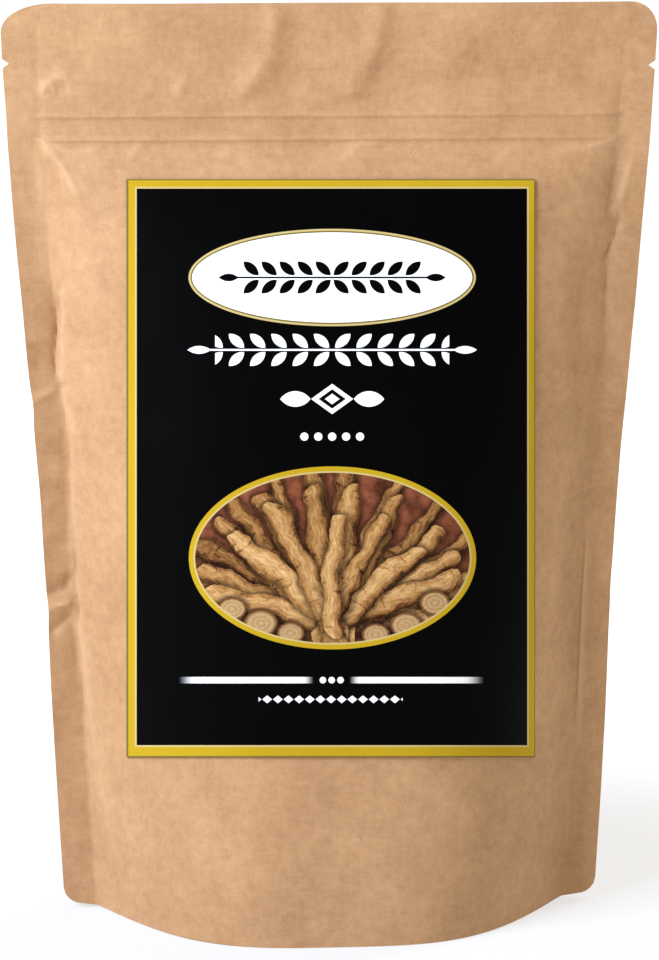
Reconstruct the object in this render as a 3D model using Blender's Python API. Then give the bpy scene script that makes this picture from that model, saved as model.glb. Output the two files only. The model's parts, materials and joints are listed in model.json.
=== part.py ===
"""Closed stand-up pouch of kraft paper, filled with dried root pieces.

The pouch has a front and a back panel that meet in flat side seals, a
bottom gusset that folds up between them, a press zip under the header, a
tear notch in each side and a label on the front.

Units are metres. +Z is up and the label faces -Y. The origin lies on the
floor, under the middle of the pouch.
"""

import math
import random

import bmesh
import bpy
from mathutils import Vector

# Sheet
SHEET_THICKNESS = 0.0006
CLEARANCE = 0.0003

# Outline of the pouch
POUCH_HEIGHT = 0.2288
SEAL_WIDTH = 0.008
TOP_CORNER_HEIGHT = 0.0070
TOP_CORNER_WIDTHS = {-1: 0.0095, 1: 0.0065}
BOTTOM_CORNER_RADIUS = 0.0045
NOTCH_HEIGHT = 0.2142
NOTCH_HALF_HEIGHT = 0.0011
NOTCH_DEPTH = 0.0017

# The lower corners curl up a little, from this share of the bag outward
CORNER_LIFT = 0.0015
CORNER_LIFT_REACH = 0.020
CORNER_LIFT_START = 0.85

# Shape of a panel at a few heights: height, half width of the outline,
# depth of the bulge, and the two exponents of the bulge's section.
PANEL_STATIONS = (
    (0.0000, 0.0680, 0.0335, 3.4, 1.30),
    (0.0270, 0.0692, 0.0322, 3.4, 1.24),
    (0.0540, 0.0703, 0.0300, 3.3, 1.18),
    (0.0800, 0.0711, 0.0276, 3.2, 1.12),
    (0.1050, 0.0722, 0.0250, 3.1, 1.08),
    (0.1340, 0.0742, 0.0208, 3.1, 1.06),
    (0.1600, 0.0762, 0.0155, 3.3, 1.05),
    (0.1800, 0.0776, 0.0085, 4.6, 1.05),
    (0.1900, 0.0782, 0.0034, 9.0, 1.05),
    (0.1945, 0.0785, 0.0013, 20.0, 1.00),
    (0.2035, 0.0789, 0.0012, 20.0, 1.00),
    (0.2140, 0.0795, 0.0006, 12.0, 1.00),
    (0.2288, 0.0800, 0.0003, 8.0, 1.00),
)

# Lines of the zip pressed into the panels
ZIP_RIDGE_HEIGHTS = (0.1960, 0.2017)
ZIP_RIDGE_HALF_HEIGHT = 0.0011
ZIP_RIDGE_RISE = 0.00045
ZIP_RIDGE_END = 0.97

# Heights of the panel's rows, without the rows of the ridges and the notch
PANEL_ROWS = (
    0.0, 0.0004, 0.0014, 0.0045, 0.011, 0.019, 0.028, 0.039, 0.051, 0.064,
    0.077, 0.090, 0.103, 0.116, 0.129, 0.141, 0.152, 0.162, 0.171, 0.179,
    0.185, 0.1895, 0.1925, 0.2045, 0.2085, 0.2180, 0.2218, 0.2243, 0.2262,
    0.2276, 0.2285, 0.2288,
)

# Columns across half a panel, as shares of the bag's half width. Shares from
# 1 to 2 run across the seal.
HALF_COLUMNS = (0.0, 0.145, 0.29, 0.43, 0.56, 0.68, 0.79, 0.88, 0.95, 1.0, 2.0)

# Steps across and up that the slope of a panel is measured over
NORMAL_STEP = 0.004
NORMAL_RISE = 0.0002

# Bottom gusset
GUSSET_DEPTH = 0.040
GUSSET_SEAL_RISE = 0.004
GUSSET_FOOT = 0.0005
GUSSET_REACH = 0.97
GUSSET_FOLD_RADIUS = 0.0009
GUSSET_COLUMNS = 18
GUSSET_FLANGE_STEPS = 3
GUSSET_SLOPE_STEPS = 3
GUSSET_LEAST_RISE = 0.0003
STEEPEST_FACING = 0.3

# Press zip
ZIP_HEIGHT = 0.19885
ZIP_HALF_LENGTH = 0.060
ZIP_HALF_HEIGHT = 0.0040
ZIP_BASE = 0.0004
ZIP_STEPS = 12
RIB_REACH = 0.00135
RIB_HALF_HEIGHT = 0.0004
LIP_REACH = 0.00130
LIP_INNER = 0.0007
LIP_OUTER = 0.0012

# Label. Its edges look straight and square from a point in front of the
# pouch, and its size is measured through that point, on a plane that stands
# square to the line of sight at the pouch's distance.
SIGHT_DISTANCE = 0.800
SIGHT_HEIGHT = 0.280
SIGHT_TURN = math.radians(-3.5)
SIGHT_PITCH = math.radians(11.96)
LABEL_WIDTH = 0.0998
LABEL_HEIGHT = 0.1412
LABEL_RISE = 0.0029
LABEL_THICKNESS = 0.0003
LABEL_GAP = 0.00035
LABEL_COLUMNS = 12
LABEL_ROWS = 16

# Dried roots: spacing on the floor, height of the feet, size and unevenness
ROOT_PITCH = 0.014
ROOT_ROW_OFFSET = 0.0092
ROOT_INNER_FOOT = 0.0240
ROOT_OUTER_FOOT = 0.0370
ROOT_RADIUS_RANGE = (0.0038, 0.0047)
ROOT_LENGTH_RANGE = (0.078, 0.104)
ROOT_BEND = 0.0014
ROOT_TAPER = 0.35
ROOT_KNOT = 0.065
ROOT_SIDES = 9
ROOT_RINGS = 9
ROOT_SEED = 11

KRAFT_COLOUR = (0.56, 0.38, 0.22)
GUSSET_COLOUR = (0.50, 0.33, 0.19)
ZIP_COLOUR = (0.78, 0.74, 0.66)
LABEL_COLOUR = (0.012, 0.012, 0.013)
ROOT_COLOUR = (0.42, 0.26, 0.13)


def clear_scene():
    """Remove every object that the scene holds."""
    for obj in list(bpy.data.objects):
        bpy.data.objects.remove(obj, do_unlink=True)


def make_material(name, colour, roughness, metallic=0.0):
    """Return a Principled material of one plain colour."""
    material = bpy.data.materials.new(name)
    material.use_nodes = True
    shader = material.node_tree.nodes["Principled BSDF"]
    shader.inputs["Base Color"].default_value = (*colour, 1.0)
    shader.inputs["Roughness"].default_value = roughness
    shader.inputs["Metallic"].default_value = metallic
    return material


def make_object(name, bm, material, parent):
    """Turn a bmesh into a smooth shaded object under the given parent."""
    bmesh.ops.recalc_face_normals(bm, faces=bm.faces)
    mesh = bpy.data.meshes.new(name)
    bm.to_mesh(mesh)
    bm.free()
    mesh.materials.append(material)
    mesh.shade_smooth()
    mesh.set_sharp_from_angle(angle=math.radians(40))
    obj = bpy.data.objects.new(name, mesh)
    bpy.context.scene.collection.objects.link(obj)
    obj.parent = parent
    return obj


def grid_faces(bm, rows):
    """Join neighbouring rows of vertices with quads."""
    for lower, upper in zip(rows, rows[1:]):
        for i in range(len(lower) - 1):
            bm.faces.new((lower[i], lower[i + 1], upper[i + 1], upper[i]))


def sheet_bmesh(outer_rows, inner_rows):
    """Return a closed sheet between two grids of points of the same size."""
    bm = bmesh.new()
    outer = [[bm.verts.new(point) for point in row] for row in outer_rows]
    inner = [[bm.verts.new(point) for point in row] for row in inner_rows]
    grid_faces(bm, outer)
    grid_faces(bm, inner)
    grid_faces(bm, [outer[0], inner[0]])
    grid_faces(bm, [outer[-1], inner[-1]])
    grid_faces(bm, [[row[0] for row in outer], [row[0] for row in inner]])
    grid_faces(bm, [[row[-1] for row in outer], [row[-1] for row in inner]])
    return bm


def loft_bmesh(sections):
    """Return a closed solid through a list of closed sections."""
    bm = bmesh.new()
    rings = [[bm.verts.new(point) for point in section] for section in sections]
    grid_faces(bm, [ring + ring[:1] for ring in rings])
    bm.faces.new(rings[0])
    bm.faces.new(rings[-1])
    return bm


def station_slope(index, column):
    """Return a station's slope, flat at a peak so that no curve overshoots."""
    def chord(i):
        low = PANEL_STATIONS[i]
        high = PANEL_STATIONS[i + 1]
        return (high[column] - low[column]) / (high[0] - low[0])

    if index == 0:
        return chord(0)
    if index == len(PANEL_STATIONS) - 1:
        return chord(index - 1)
    below = chord(index - 1)
    above = chord(index)
    if below * above <= 0.0:
        return 0.0
    return 2.0 * below * above / (below + above)


def panel_shape(z):
    """Return half width, bulge depth and both exponents at one height."""
    last = len(PANEL_STATIONS) - 2
    index = 0
    while index < last and PANEL_STATIONS[index + 1][0] < z:
        index += 1
    low = PANEL_STATIONS[index]
    high = PANEL_STATIONS[index + 1]
    span = high[0] - low[0]
    t = min(max((z - low[0]) / span, 0.0), 1.0)
    values = []
    for column in range(1, 5):
        value = (2 * t**3 - 3 * t**2 + 1) * low[column]
        value += (t**3 - 2 * t**2 + t) * span * station_slope(index, column)
        value += (3 * t**2 - 2 * t**3) * high[column]
        value += (t**3 - t**2) * span * station_slope(index + 1, column)
        values.append(value)
    return values


def round_off(distance, height, width):
    """Return how far an elliptic corner cuts in, that far into its height."""
    share = min(max(distance / height, 0.0), 1.0)
    return width * (1.0 - math.sqrt(1.0 - share * share))


def outline_edge(side, z):
    """Return the outline's half width on one side, corners and notch cut."""
    edge = panel_shape(z)[0]
    top_start = POUCH_HEIGHT - TOP_CORNER_HEIGHT
    edge -= round_off(z - top_start, TOP_CORNER_HEIGHT, TOP_CORNER_WIDTHS[side])
    edge -= round_off(BOTTOM_CORNER_RADIUS - z, BOTTOM_CORNER_RADIUS, BOTTOM_CORNER_RADIUS)
    notch = 1.0 - abs(z - NOTCH_HEIGHT) / NOTCH_HALF_HEIGHT
    return edge - NOTCH_DEPTH * max(notch, 0.0)


def bulge(share, z):
    """Return how far a panel stands out, at a share of the bag's half width."""
    depth, flatness, softness = panel_shape(z)[1:]
    inside = 1.0 - min(abs(share), 1.0) ** flatness
    return depth * inside**softness


def panel_point(column, z):
    """Return a point on the outer face of the front panel."""
    side = -1 if column < 0 else 1
    share = abs(column)
    edge = outline_edge(side, z)
    bag = min(panel_shape(z)[0] - SEAL_WIDTH, edge - 0.5 * SEAL_WIDTH)
    if share <= 1.0:
        x = side * share * bag
    else:
        x = side * (bag + (share - 1.0) * (edge - bag))
    y = -(0.5 * CLEARANCE + SHEET_THICKNESS) - bulge(share, z)
    start = CORNER_LIFT_START * bag
    reach = (abs(x) - start) / (edge - start)
    lift = max(reach, 0.0) ** 2 * max(1.0 - z / CORNER_LIFT_REACH, 0.0)
    return Vector((x, y, z + CORNER_LIFT * lift))


def panel_normal(column, z):
    """Return the front panel's outward direction; its rims stay level."""
    right = panel_point(min(column + NORMAL_STEP, 2.0), z)
    left = panel_point(max(column - NORMAL_STEP, -2.0), z)
    above = panel_point(column, min(z + NORMAL_RISE, POUCH_HEIGHT))
    below = panel_point(column, max(z - NORMAL_RISE, 0.0))
    normal = (right - left).cross(above - below)
    if z <= 0.0 or z >= POUCH_HEIGHT:
        normal.z = 0.0
    return normal.normalized()


def ridge_rise(column, z):
    """Return how far the zip's lines lift the panel's outer face."""
    if abs(column) > ZIP_RIDGE_END:
        return 0.0
    for height in ZIP_RIDGE_HEIGHTS:
        share = 1.0 - abs(z - height) / ZIP_RIDGE_HALF_HEIGHT
        if share > 0.0:
            return ZIP_RIDGE_RISE * share
    return 0.0


def panel_columns():
    """Return every column of a panel, from the left edge to the right."""
    return [-share for share in reversed(HALF_COLUMNS[1:])] + list(HALF_COLUMNS)


def panel_rows():
    """Return every row height of a panel, with ridges and notch."""
    rows = set(PANEL_ROWS)
    for height in ZIP_RIDGE_HEIGHTS:
        rows.update((height - ZIP_RIDGE_HALF_HEIGHT, height, height + ZIP_RIDGE_HALF_HEIGHT))
    rows.update((NOTCH_HEIGHT - NOTCH_HALF_HEIGHT, NOTCH_HEIGHT, NOTCH_HEIGHT + NOTCH_HALF_HEIGHT))
    return sorted(rows)


def make_panel(name, facing, material, parent):
    """Make the front panel (facing -1) or the back panel (facing 1)."""
    outer_rows = []
    inner_rows = []
    for z in panel_rows():
        outer = []
        inner = []
        for column in panel_columns():
            point = panel_point(column, z)
            normal = panel_normal(column, z)
            top = point + normal * ridge_rise(column, z)
            under = point - normal * SHEET_THICKNESS
            outer.append((top.x, -facing * top.y, top.z))
            inner.append((under.x, -facing * under.y, under.z))
        outer_rows.append(outer)
        inner_rows.append(inner)
    return make_object(name, sheet_bmesh(outer_rows, inner_rows), material, parent)


def room_inside(share, z):
    """Return the half depth between the panels that a lining piece may fill."""
    facing = max(-panel_normal(share, z).y, STEEPEST_FACING)
    return -panel_point(share, z).y - (SHEET_THICKNESS + CLEARANCE) / facing


def gusset_section(share):
    """Return the gusset's upper face across the pouch, from front to back.

    A flange lies along each panel up to the seal's curve, and from there
    the sheet slopes up to the fold over the middle line.
    """
    seal = GUSSET_SEAL_RISE + (GUSSET_DEPTH - GUSSET_SEAL_RISE) * share**4
    rim = room_inside(share, seal)
    slack = (GUSSET_DEPTH - seal) ** 2 - rim**2
    fold = seal + math.sqrt(max(slack, 0.0))
    half = []
    for step in range(GUSSET_FLANGE_STEPS + 1):
        z = GUSSET_FOOT + (seal - GUSSET_FOOT) * step / GUSSET_FLANGE_STEPS
        half.append((-room_inside(share, z), z))
    for step in range(1, GUSSET_SLOPE_STEPS + 1):
        t = step / GUSSET_SLOPE_STEPS
        y = -rim + (rim - GUSSET_FOLD_RADIUS) * t
        z = seal + (fold - GUSSET_FOLD_RADIUS - seal) * t
        half.append((y, max(z, seal + GUSSET_LEAST_RISE * step)))
    top = max(fold, half[-1][1] + GUSSET_LEAST_RISE)
    mirrored = [(-y, z) for y, z in reversed(half)]
    return half + [(0.0, top)] + mirrored


def offset_below(section, distance):
    """Return a section moved square to itself, to its lower side."""
    moved = []
    for i, (y, z) in enumerate(section):
        before = section[max(i - 1, 0)]
        after = section[min(i + 1, len(section) - 1)]
        first = Vector((y - before[0], z - before[1]))
        second = Vector((after[0] - y, after[1] - z))
        first = first.normalized() if first.length > 0.0 else second.normalized()
        second = second.normalized() if second.length > 0.0 else first
        along = (first + second).normalized()
        stretch = min(1.0 / max(along.dot(first), 0.5), 1.6)
        moved.append((y + along.y * distance * stretch, z - along.x * distance * stretch))
    return moved


def make_gusset(material, parent):
    """Make the bottom gusset from one sheet across the pouch."""
    upper_rows = []
    lower_rows = []
    for i in range(GUSSET_COLUMNS + 1):
        column = GUSSET_REACH * math.sin(0.5 * math.pi * (2.0 * i / GUSSET_COLUMNS - 1.0))
        section = gusset_section(abs(column))
        below = offset_below(section, SHEET_THICKNESS)
        upper = []
        lower = []
        for (y, z), (y_low, z_low) in zip(section, below):
            upper.append((panel_point(column, z).x, y, z))
            lower.append((panel_point(column, z).x, y_low, z_low))
        upper_rows.append(upper)
        lower_rows.append(lower)
    return make_object("bottom_gusset", sheet_bmesh(upper_rows, lower_rows), material, parent)


def rib_section():
    """Return the rib strip's section: depth from its back and height."""
    return [
        (0.0, -ZIP_HALF_HEIGHT), (0.0, ZIP_HALF_HEIGHT), (ZIP_BASE, ZIP_HALF_HEIGHT),
        (ZIP_BASE, RIB_HALF_HEIGHT), (RIB_REACH, RIB_HALF_HEIGHT),
        (RIB_REACH, -RIB_HALF_HEIGHT), (ZIP_BASE, -RIB_HALF_HEIGHT),
        (ZIP_BASE, -ZIP_HALF_HEIGHT),
    ]


def groove_section():
    """Return the groove strip's section: depth from its back and height."""
    return [
        (0.0, -ZIP_HALF_HEIGHT), (0.0, ZIP_HALF_HEIGHT), (ZIP_BASE, ZIP_HALF_HEIGHT),
        (ZIP_BASE, LIP_OUTER), (LIP_REACH, LIP_OUTER), (LIP_REACH, LIP_INNER),
        (ZIP_BASE, LIP_INNER), (ZIP_BASE, -LIP_INNER), (LIP_REACH, -LIP_INNER),
        (LIP_REACH, -LIP_OUTER), (ZIP_BASE, -LIP_OUTER), (ZIP_BASE, -ZIP_HALF_HEIGHT),
    ]


def make_zip_strip(name, facing, section, material, parent):
    """Make one strip of the zip along the inner face of its panel."""
    bag = panel_shape(ZIP_HEIGHT)[0] - SEAL_WIDTH
    rings = []
    for i in range(ZIP_STEPS + 1):
        x = ZIP_HALF_LENGTH * (2.0 * i / ZIP_STEPS - 1.0)
        back = room_inside(abs(x) / bag, ZIP_HEIGHT)
        rings.append([(x, facing * (back - depth), ZIP_HEIGHT + up) for depth, up in section])
    return make_object(name, loft_bmesh(rings), material, parent)


def sight_frame():
    """Return the sight point, its line of sight, and right and up across it."""
    turn = SIGHT_TURN
    eye = Vector((math.sin(turn), -math.cos(turn), 0.0)) * SIGHT_DISTANCE
    eye.z = SIGHT_HEIGHT
    right = Vector((math.cos(turn), math.sin(turn), 0.0))
    level = Vector((-math.sin(turn), math.cos(turn), 0.0))
    line = level * math.cos(SIGHT_PITCH) - Vector((0.0, 0.0, math.sin(SIGHT_PITCH)))
    return eye, line, right, right.cross(line)


def label_point(across, up, lift):
    """Return a point this far off the front panel, on its line of sight."""
    eye, line, right, above = sight_frame()
    column = 0.0
    z = 0.5 * POUCH_HEIGHT
    point = Vector()
    for _ in range(24):
        point = panel_point(column, z) + panel_normal(column, z) * lift
        ray = point - eye
        scale = SIGHT_DISTANCE / ray.dot(line)
        column += 0.8 * (across - ray.dot(right) * scale) / panel_shape(z)[0]
        z += 0.8 * (up - ray.dot(above) * scale)
        z = min(max(z, 0.001), POUCH_HEIGHT - 0.001)
    return point


def make_label(material, parent):
    """Make the label, a thin sheet just off the front panel."""
    outer_rows = []
    inner_rows = []
    for j in range(LABEL_ROWS + 1):
        up = LABEL_RISE + LABEL_HEIGHT * (j / LABEL_ROWS - 0.5)
        across = [LABEL_WIDTH * (i / LABEL_COLUMNS - 0.5) for i in range(LABEL_COLUMNS + 1)]
        outer_rows.append([label_point(x, up, LABEL_GAP + LABEL_THICKNESS) for x in across])
        inner_rows.append([label_point(x, up, LABEL_GAP) for x in across])
    return make_object("label", sheet_bmesh(outer_rows, inner_rows), material, parent)


def root_places():
    """Return the floor place and the foot height of every root."""
    places = []
    for row in (-1, 1):
        for i in range(-2, 3):
            places.append((i * ROOT_PITCH, row * ROOT_ROW_OFFSET, ROOT_INNER_FOOT))
    for side in (-1, 1):
        places.append((side * 3 * ROOT_PITCH, 0.0, ROOT_OUTER_FOOT))
    return places


def root_sections(rng):
    """Return the rings of one dried root, bent and uneven, from foot to tip."""
    radius = rng.uniform(*ROOT_RADIUS_RANGE)
    length = rng.uniform(*ROOT_LENGTH_RANGE)
    lean = rng.uniform(0.0, 2.0 * math.pi)
    waves = [rng.uniform(0.0, 2.0 * math.pi) for _ in range(3)]
    rings = []
    for i in range(ROOT_RINGS):
        t = i / (ROOT_RINGS - 1)
        bend = ROOT_BEND * math.sin(math.pi * t + waves[0] * 0.2)
        centre = Vector((bend * math.cos(lean), bend * math.sin(lean), t * length))
        taper = 1.0 - ROOT_TAPER * t
        ring = []
        for k in range(ROOT_SIDES):
            angle = 2.0 * math.pi * k / ROOT_SIDES
            knot = 1.0 + ROOT_KNOT * (math.sin(9.0 * t + waves[1]) + math.sin(2.0 * angle + waves[2]))
            reach = radius * taper * knot
            ring.append(centre + Vector((reach * math.cos(angle), reach * math.sin(angle), 0.0)))
        rings.append(ring)
    return rings


def make_roots(material, parent):
    """Make the dried roots, standing side by side over the gusset."""
    rng = random.Random(ROOT_SEED)
    for number, place in enumerate(root_places(), start=1):
        root = make_object(f"root_{number:02d}", loft_bmesh(root_sections(rng)), material, parent)
        root.location = place


def main():
    """Build the pouch, its fittings and its contents."""
    clear_scene()
    pouch = bpy.data.objects.new("pouch", None)
    bpy.context.scene.collection.objects.link(pouch)
    kraft = make_material("kraft_paper", KRAFT_COLOUR, 0.85)
    lining = make_material("gusset_paper", GUSSET_COLOUR, 0.85)
    plastic = make_material("zip_plastic", ZIP_COLOUR, 0.40)
    printed = make_material("label_print", LABEL_COLOUR, 0.45)
    root = make_material("dried_root", ROOT_COLOUR, 0.80)

    make_panel("front_panel", -1, kraft, pouch)
    make_panel("back_panel", 1, kraft, pouch)
    make_gusset(lining, pouch)
    make_zip_strip("zip_rib_strip", -1, rib_section(), plastic, pouch)
    make_zip_strip("zip_groove_strip", 1, groove_section(), plastic, pouch)
    make_label(printed, pouch)
    make_roots(root, pouch)


main()
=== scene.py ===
"""Looks of a filled kraft paper stand-up pouch.

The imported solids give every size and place. This script dresses them: paper
panels with their folds, the folded gusset, the press zip, a printed label
and the dried roots inside, on a pale floor in soft studio light.
"""

import json
import logging
import math
from collections.abc import Mapping, Sequence
from dataclasses import dataclass, field
from enum import Enum
from typing import Any, Union

import bpy
import numpy as np
from mathutils import Matrix, Vector

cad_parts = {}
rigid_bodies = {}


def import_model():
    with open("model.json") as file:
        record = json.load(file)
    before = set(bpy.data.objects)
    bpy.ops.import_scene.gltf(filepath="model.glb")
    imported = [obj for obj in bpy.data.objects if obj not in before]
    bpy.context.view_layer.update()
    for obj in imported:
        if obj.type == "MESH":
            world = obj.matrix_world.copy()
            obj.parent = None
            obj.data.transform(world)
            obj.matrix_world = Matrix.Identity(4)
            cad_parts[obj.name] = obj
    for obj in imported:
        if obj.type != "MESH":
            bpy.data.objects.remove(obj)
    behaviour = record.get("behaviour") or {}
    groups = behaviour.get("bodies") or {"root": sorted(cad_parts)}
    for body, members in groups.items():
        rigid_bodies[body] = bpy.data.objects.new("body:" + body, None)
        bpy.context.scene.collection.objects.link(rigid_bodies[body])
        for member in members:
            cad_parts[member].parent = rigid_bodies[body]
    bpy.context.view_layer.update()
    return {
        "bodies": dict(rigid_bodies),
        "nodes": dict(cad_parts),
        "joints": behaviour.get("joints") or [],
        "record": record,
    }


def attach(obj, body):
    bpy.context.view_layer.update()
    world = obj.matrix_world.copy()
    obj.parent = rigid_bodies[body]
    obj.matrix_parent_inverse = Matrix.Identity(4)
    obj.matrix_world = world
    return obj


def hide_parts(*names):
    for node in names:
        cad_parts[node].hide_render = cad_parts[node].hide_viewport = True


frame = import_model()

LOG = logging.getLogger("pouch")
MM = 0.001
TINY = 1e-9
BODY = "root"

Array = np.ndarray
Colour = tuple[float, float, float]
Place = tuple[float, float]
Input = Union["Wire", float, Colour, tuple[float, float, float, float]]


# Shader boards


class Wire:
    """A socket of numbers whose Python operators add Math nodes."""

    def __init__(self, board: "Board", socket: bpy.types.NodeSocket) -> None:
        """Keep the board and the output socket.

        Args:
            board: The board that the socket's node stands on.
            socket: The output socket.
        """
        self.board = board
        self.socket = socket

    def math(self, operation: str, *others: Input) -> "Wire":
        """Put this wire through one Math node.

        Args:
            operation: The Math node's operation.
            others: Its second and third values.

        Returns:
            The node's result.
        """
        sockets = dict(enumerate((self, *others)))
        return self.board.node("ShaderNodeMath", {"operation": operation}, sockets)

    def __add__(self, other: Input) -> "Wire":
        """Return self + other."""
        return self.math("ADD", other)

    def __radd__(self, other: Input) -> "Wire":
        """Return other + self."""
        return self.math("ADD", other)

    def __sub__(self, other: Input) -> "Wire":
        """Return self - other."""
        return self.math("SUBTRACT", other)

    def __rsub__(self, other: Input) -> "Wire":
        """Return other - self."""
        return self.board.node("ShaderNodeMath", {"operation": "SUBTRACT"}, {0: other, 1: self})

    def __mul__(self, other: Input) -> "Wire":
        """Return self * other."""
        return self.math("MULTIPLY", other)

    def __rmul__(self, other: Input) -> "Wire":
        """Return other * self."""
        return self.math("MULTIPLY", other)

    def __truediv__(self, other: Input) -> "Wire":
        """Return self / other."""
        return self.math("DIVIDE", other)

    def __rtruediv__(self, other: Input) -> "Wire":
        """Return other / self."""
        return self.board.node("ShaderNodeMath", {"operation": "DIVIDE"}, {0: other, 1: self})

    def __pow__(self, other: Input) -> "Wire":
        """Return self to the power of other."""
        return self.math("POWER", other)

    def __rpow__(self, other: Input) -> "Wire":
        """Return other to the power of self."""
        return self.board.node("ShaderNodeMath", {"operation": "POWER"}, {0: other, 1: self})

    def __abs__(self) -> "Wire":
        """Return the wire without its sign."""
        return self.math("ABSOLUTE")

    def root(self) -> "Wire":
        """Return the square root."""
        return self.math("SQRT")

    def least(self, other: Input) -> "Wire":
        """Return the smaller of the two."""
        return self.math("MINIMUM", other)

    def most(self, other: Input) -> "Wire":
        """Return the larger of the two."""
        return self.math("MAXIMUM", other)

    def ramp(self, low: float, high: float) -> "Wire":
        """Return a smooth step from 0 at low to 1 at high."""
        settings = {"interpolation_type": "SMOOTHSTEP"}
        return self.board.node("ShaderNodeMapRange", settings, {0: self, 1: low, 2: high})

    def fold(self, pitch: float) -> "Wire":
        """Return the distance from the nearest multiple of a pitch, signed."""
        return self.math("WRAP", 0.5 * pitch, -0.5 * pitch)


class Board:
    """One material and the means to lay out its nodes."""

    def __init__(self, name: str) -> None:
        """Start a material with an empty board.

        Args:
            name: The material's name.
        """
        self.material = bpy.data.materials.new(name)
        self.material.use_nodes = True
        self.tree = self.material.node_tree
        self.tree.nodes.clear()

    def node(
        self,
        kind: str,
        settings: Mapping[str, Any] | None = None,
        sockets: Mapping[int | str, Input] | None = None,
        output: int | str | None = 0,
    ) -> "Wire | None":
        """Add one node.

        Args:
            kind: The node's type.
            settings: Its own settings, set before anything is linked.
            sockets: A value or a wire for each of its inputs.
            output: The output that is wanted, if any.

        Returns:
            The wanted output as a wire.
        """
        made = self.tree.nodes.new(kind)
        for name, value in (settings or {}).items():
            if name == "stops":
                self._set_stops(made.color_ramp, value)
            else:
                setattr(made, name, value)
        for key, value in (sockets or {}).items():
            if isinstance(value, Wire):
                self.tree.links.new(value.socket, made.inputs[key])
            else:
                made.inputs[key].default_value = self._fit(value, made.inputs[key])
        return None if output is None else Wire(self, made.outputs[output])

    @staticmethod
    def _set_stops(ramp: bpy.types.ColorRamp, stops: Sequence[tuple[float, Colour]]) -> None:
        """Give a colour ramp its stops.

        Args:
            ramp: The ramp.
            stops: Each stop's place and colour.
        """
        while len(ramp.elements) < len(stops):
            ramp.elements.new(1.0)
        for element, (place, colour) in zip(ramp.elements, stops):
            element.position = place
            element.color = (*colour, 1.0)

    @staticmethod
    def _fit(value: Any, socket: bpy.types.NodeSocket) -> Any:
        """Add the alpha that a colour socket wants.

        Args:
            value: What is set.
            socket: The socket that takes it.

        Returns:
            The value, with an alpha where it is wanted.
        """
        if socket.type == "RGBA" and len(value) == 3:
            return (*value, 1.0)
        return value

    def mix(self, share: Input, low: Input, high: Input, blend: str = "MIX") -> Wire:
        """Mix two colours.

        Args:
            share: How much of the second colour shows.
            low: The first colour.
            high: The second colour.
            blend: How they mix.

        Returns:
            The mixed colour.
        """
        settings = {"data_type": "RGBA", "blend_type": blend, "clamp_factor": True}
        return self.node("ShaderNodeMix", settings, {0: share, 6: low, 7: high}, 2)

    def vector(self, operation: str, *values: Input) -> Wire:
        """Put vectors through one Vector Math node."""
        return self.node("ShaderNodeVectorMath", {"operation": operation}, dict(enumerate(values)))

    def object_place(self) -> Wire:
        """Return the place on the piece, in metres."""
        return self.node("ShaderNodeTexCoord", output="Object")

    def plan(self, name: str) -> tuple[Wire, Wire]:
        """Return both coordinates of a named map."""
        uv = self.node("ShaderNodeUVMap", {"uv_map": name})
        return self.part(uv, 0), self.part(uv, 1)

    def part(self, vector: Input, number: int) -> Wire:
        """Return one of a vector's three numbers."""
        return self.node("ShaderNodeSeparateXYZ", sockets={0: vector}, output=number)

    def join(self, *numbers: Input) -> Wire:
        """Return the vector of up to three numbers."""
        return self.node("ShaderNodeCombineXYZ", sockets=dict(enumerate(numbers)))

    def length(self, vector: Wire) -> Wire:
        """Return a vector's length."""
        return self.node("ShaderNodeVectorMath", {"operation": "LENGTH"}, {0: vector}, "Value")

    def attribute(self, name: str) -> Wire:
        """Return a number stored on the mesh."""
        return self.node("ShaderNodeAttribute", {"attribute_name": name}, output="Fac")

    def noise(
        self, place: Wire, scale: float, detail: float = 3.0, rough: float = 0.55, bend: float = 0.0
    ) -> Wire:
        """Return a noise between 0 and 1.

        Args:
            place: Where it is read.
            scale: Its cells to a metre of that place.
            detail: Its finer layers.
            rough: How strong those are.
            bend: How far it is distorted.

        Returns:
            The noise.
        """
        sockets = {"Vector": place, "Scale": scale, "Detail": detail, "Roughness": rough, "Distortion": bend}
        return self.node("ShaderNodeTexNoise", {"noise_dimensions": "3D"}, sockets)

    def finish(
        self, colour: Input, roughness: Input, height: Wire | None, depth: float, **plain: Input
    ) -> bpy.types.Material:
        """Close the board with a Principled shader.

        Args:
            colour: The base colour.
            roughness: The roughness.
            height: The height that the bump reads, from 0 to 1.
            depth: What a height of 1 stands for, in metres.
            plain: Other sockets, by name with underscores, and their values.

        Returns:
            The finished material.
        """
        sockets: dict[int | str, Input] = {"Base Color": colour, "Roughness": roughness}
        if height is not None:
            bump = {"Strength": 1.0, "Distance": depth, "Height": height}
            sockets["Normal"] = self.node("ShaderNodeBump", sockets=bump)
        for name, value in plain.items():
            sockets[name.replace("_", " ").title().replace("Ior", "IOR")] = value
        surface = self.node("ShaderNodeBsdfPrincipled", sockets=sockets)
        self.node("ShaderNodeOutputMaterial", sockets={"Surface": surface}, output=None)
        return self.material


def grey(value: float) -> Colour:
    """Return a grey of that brightness."""
    return (value, value, value)


# Finishes


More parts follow.
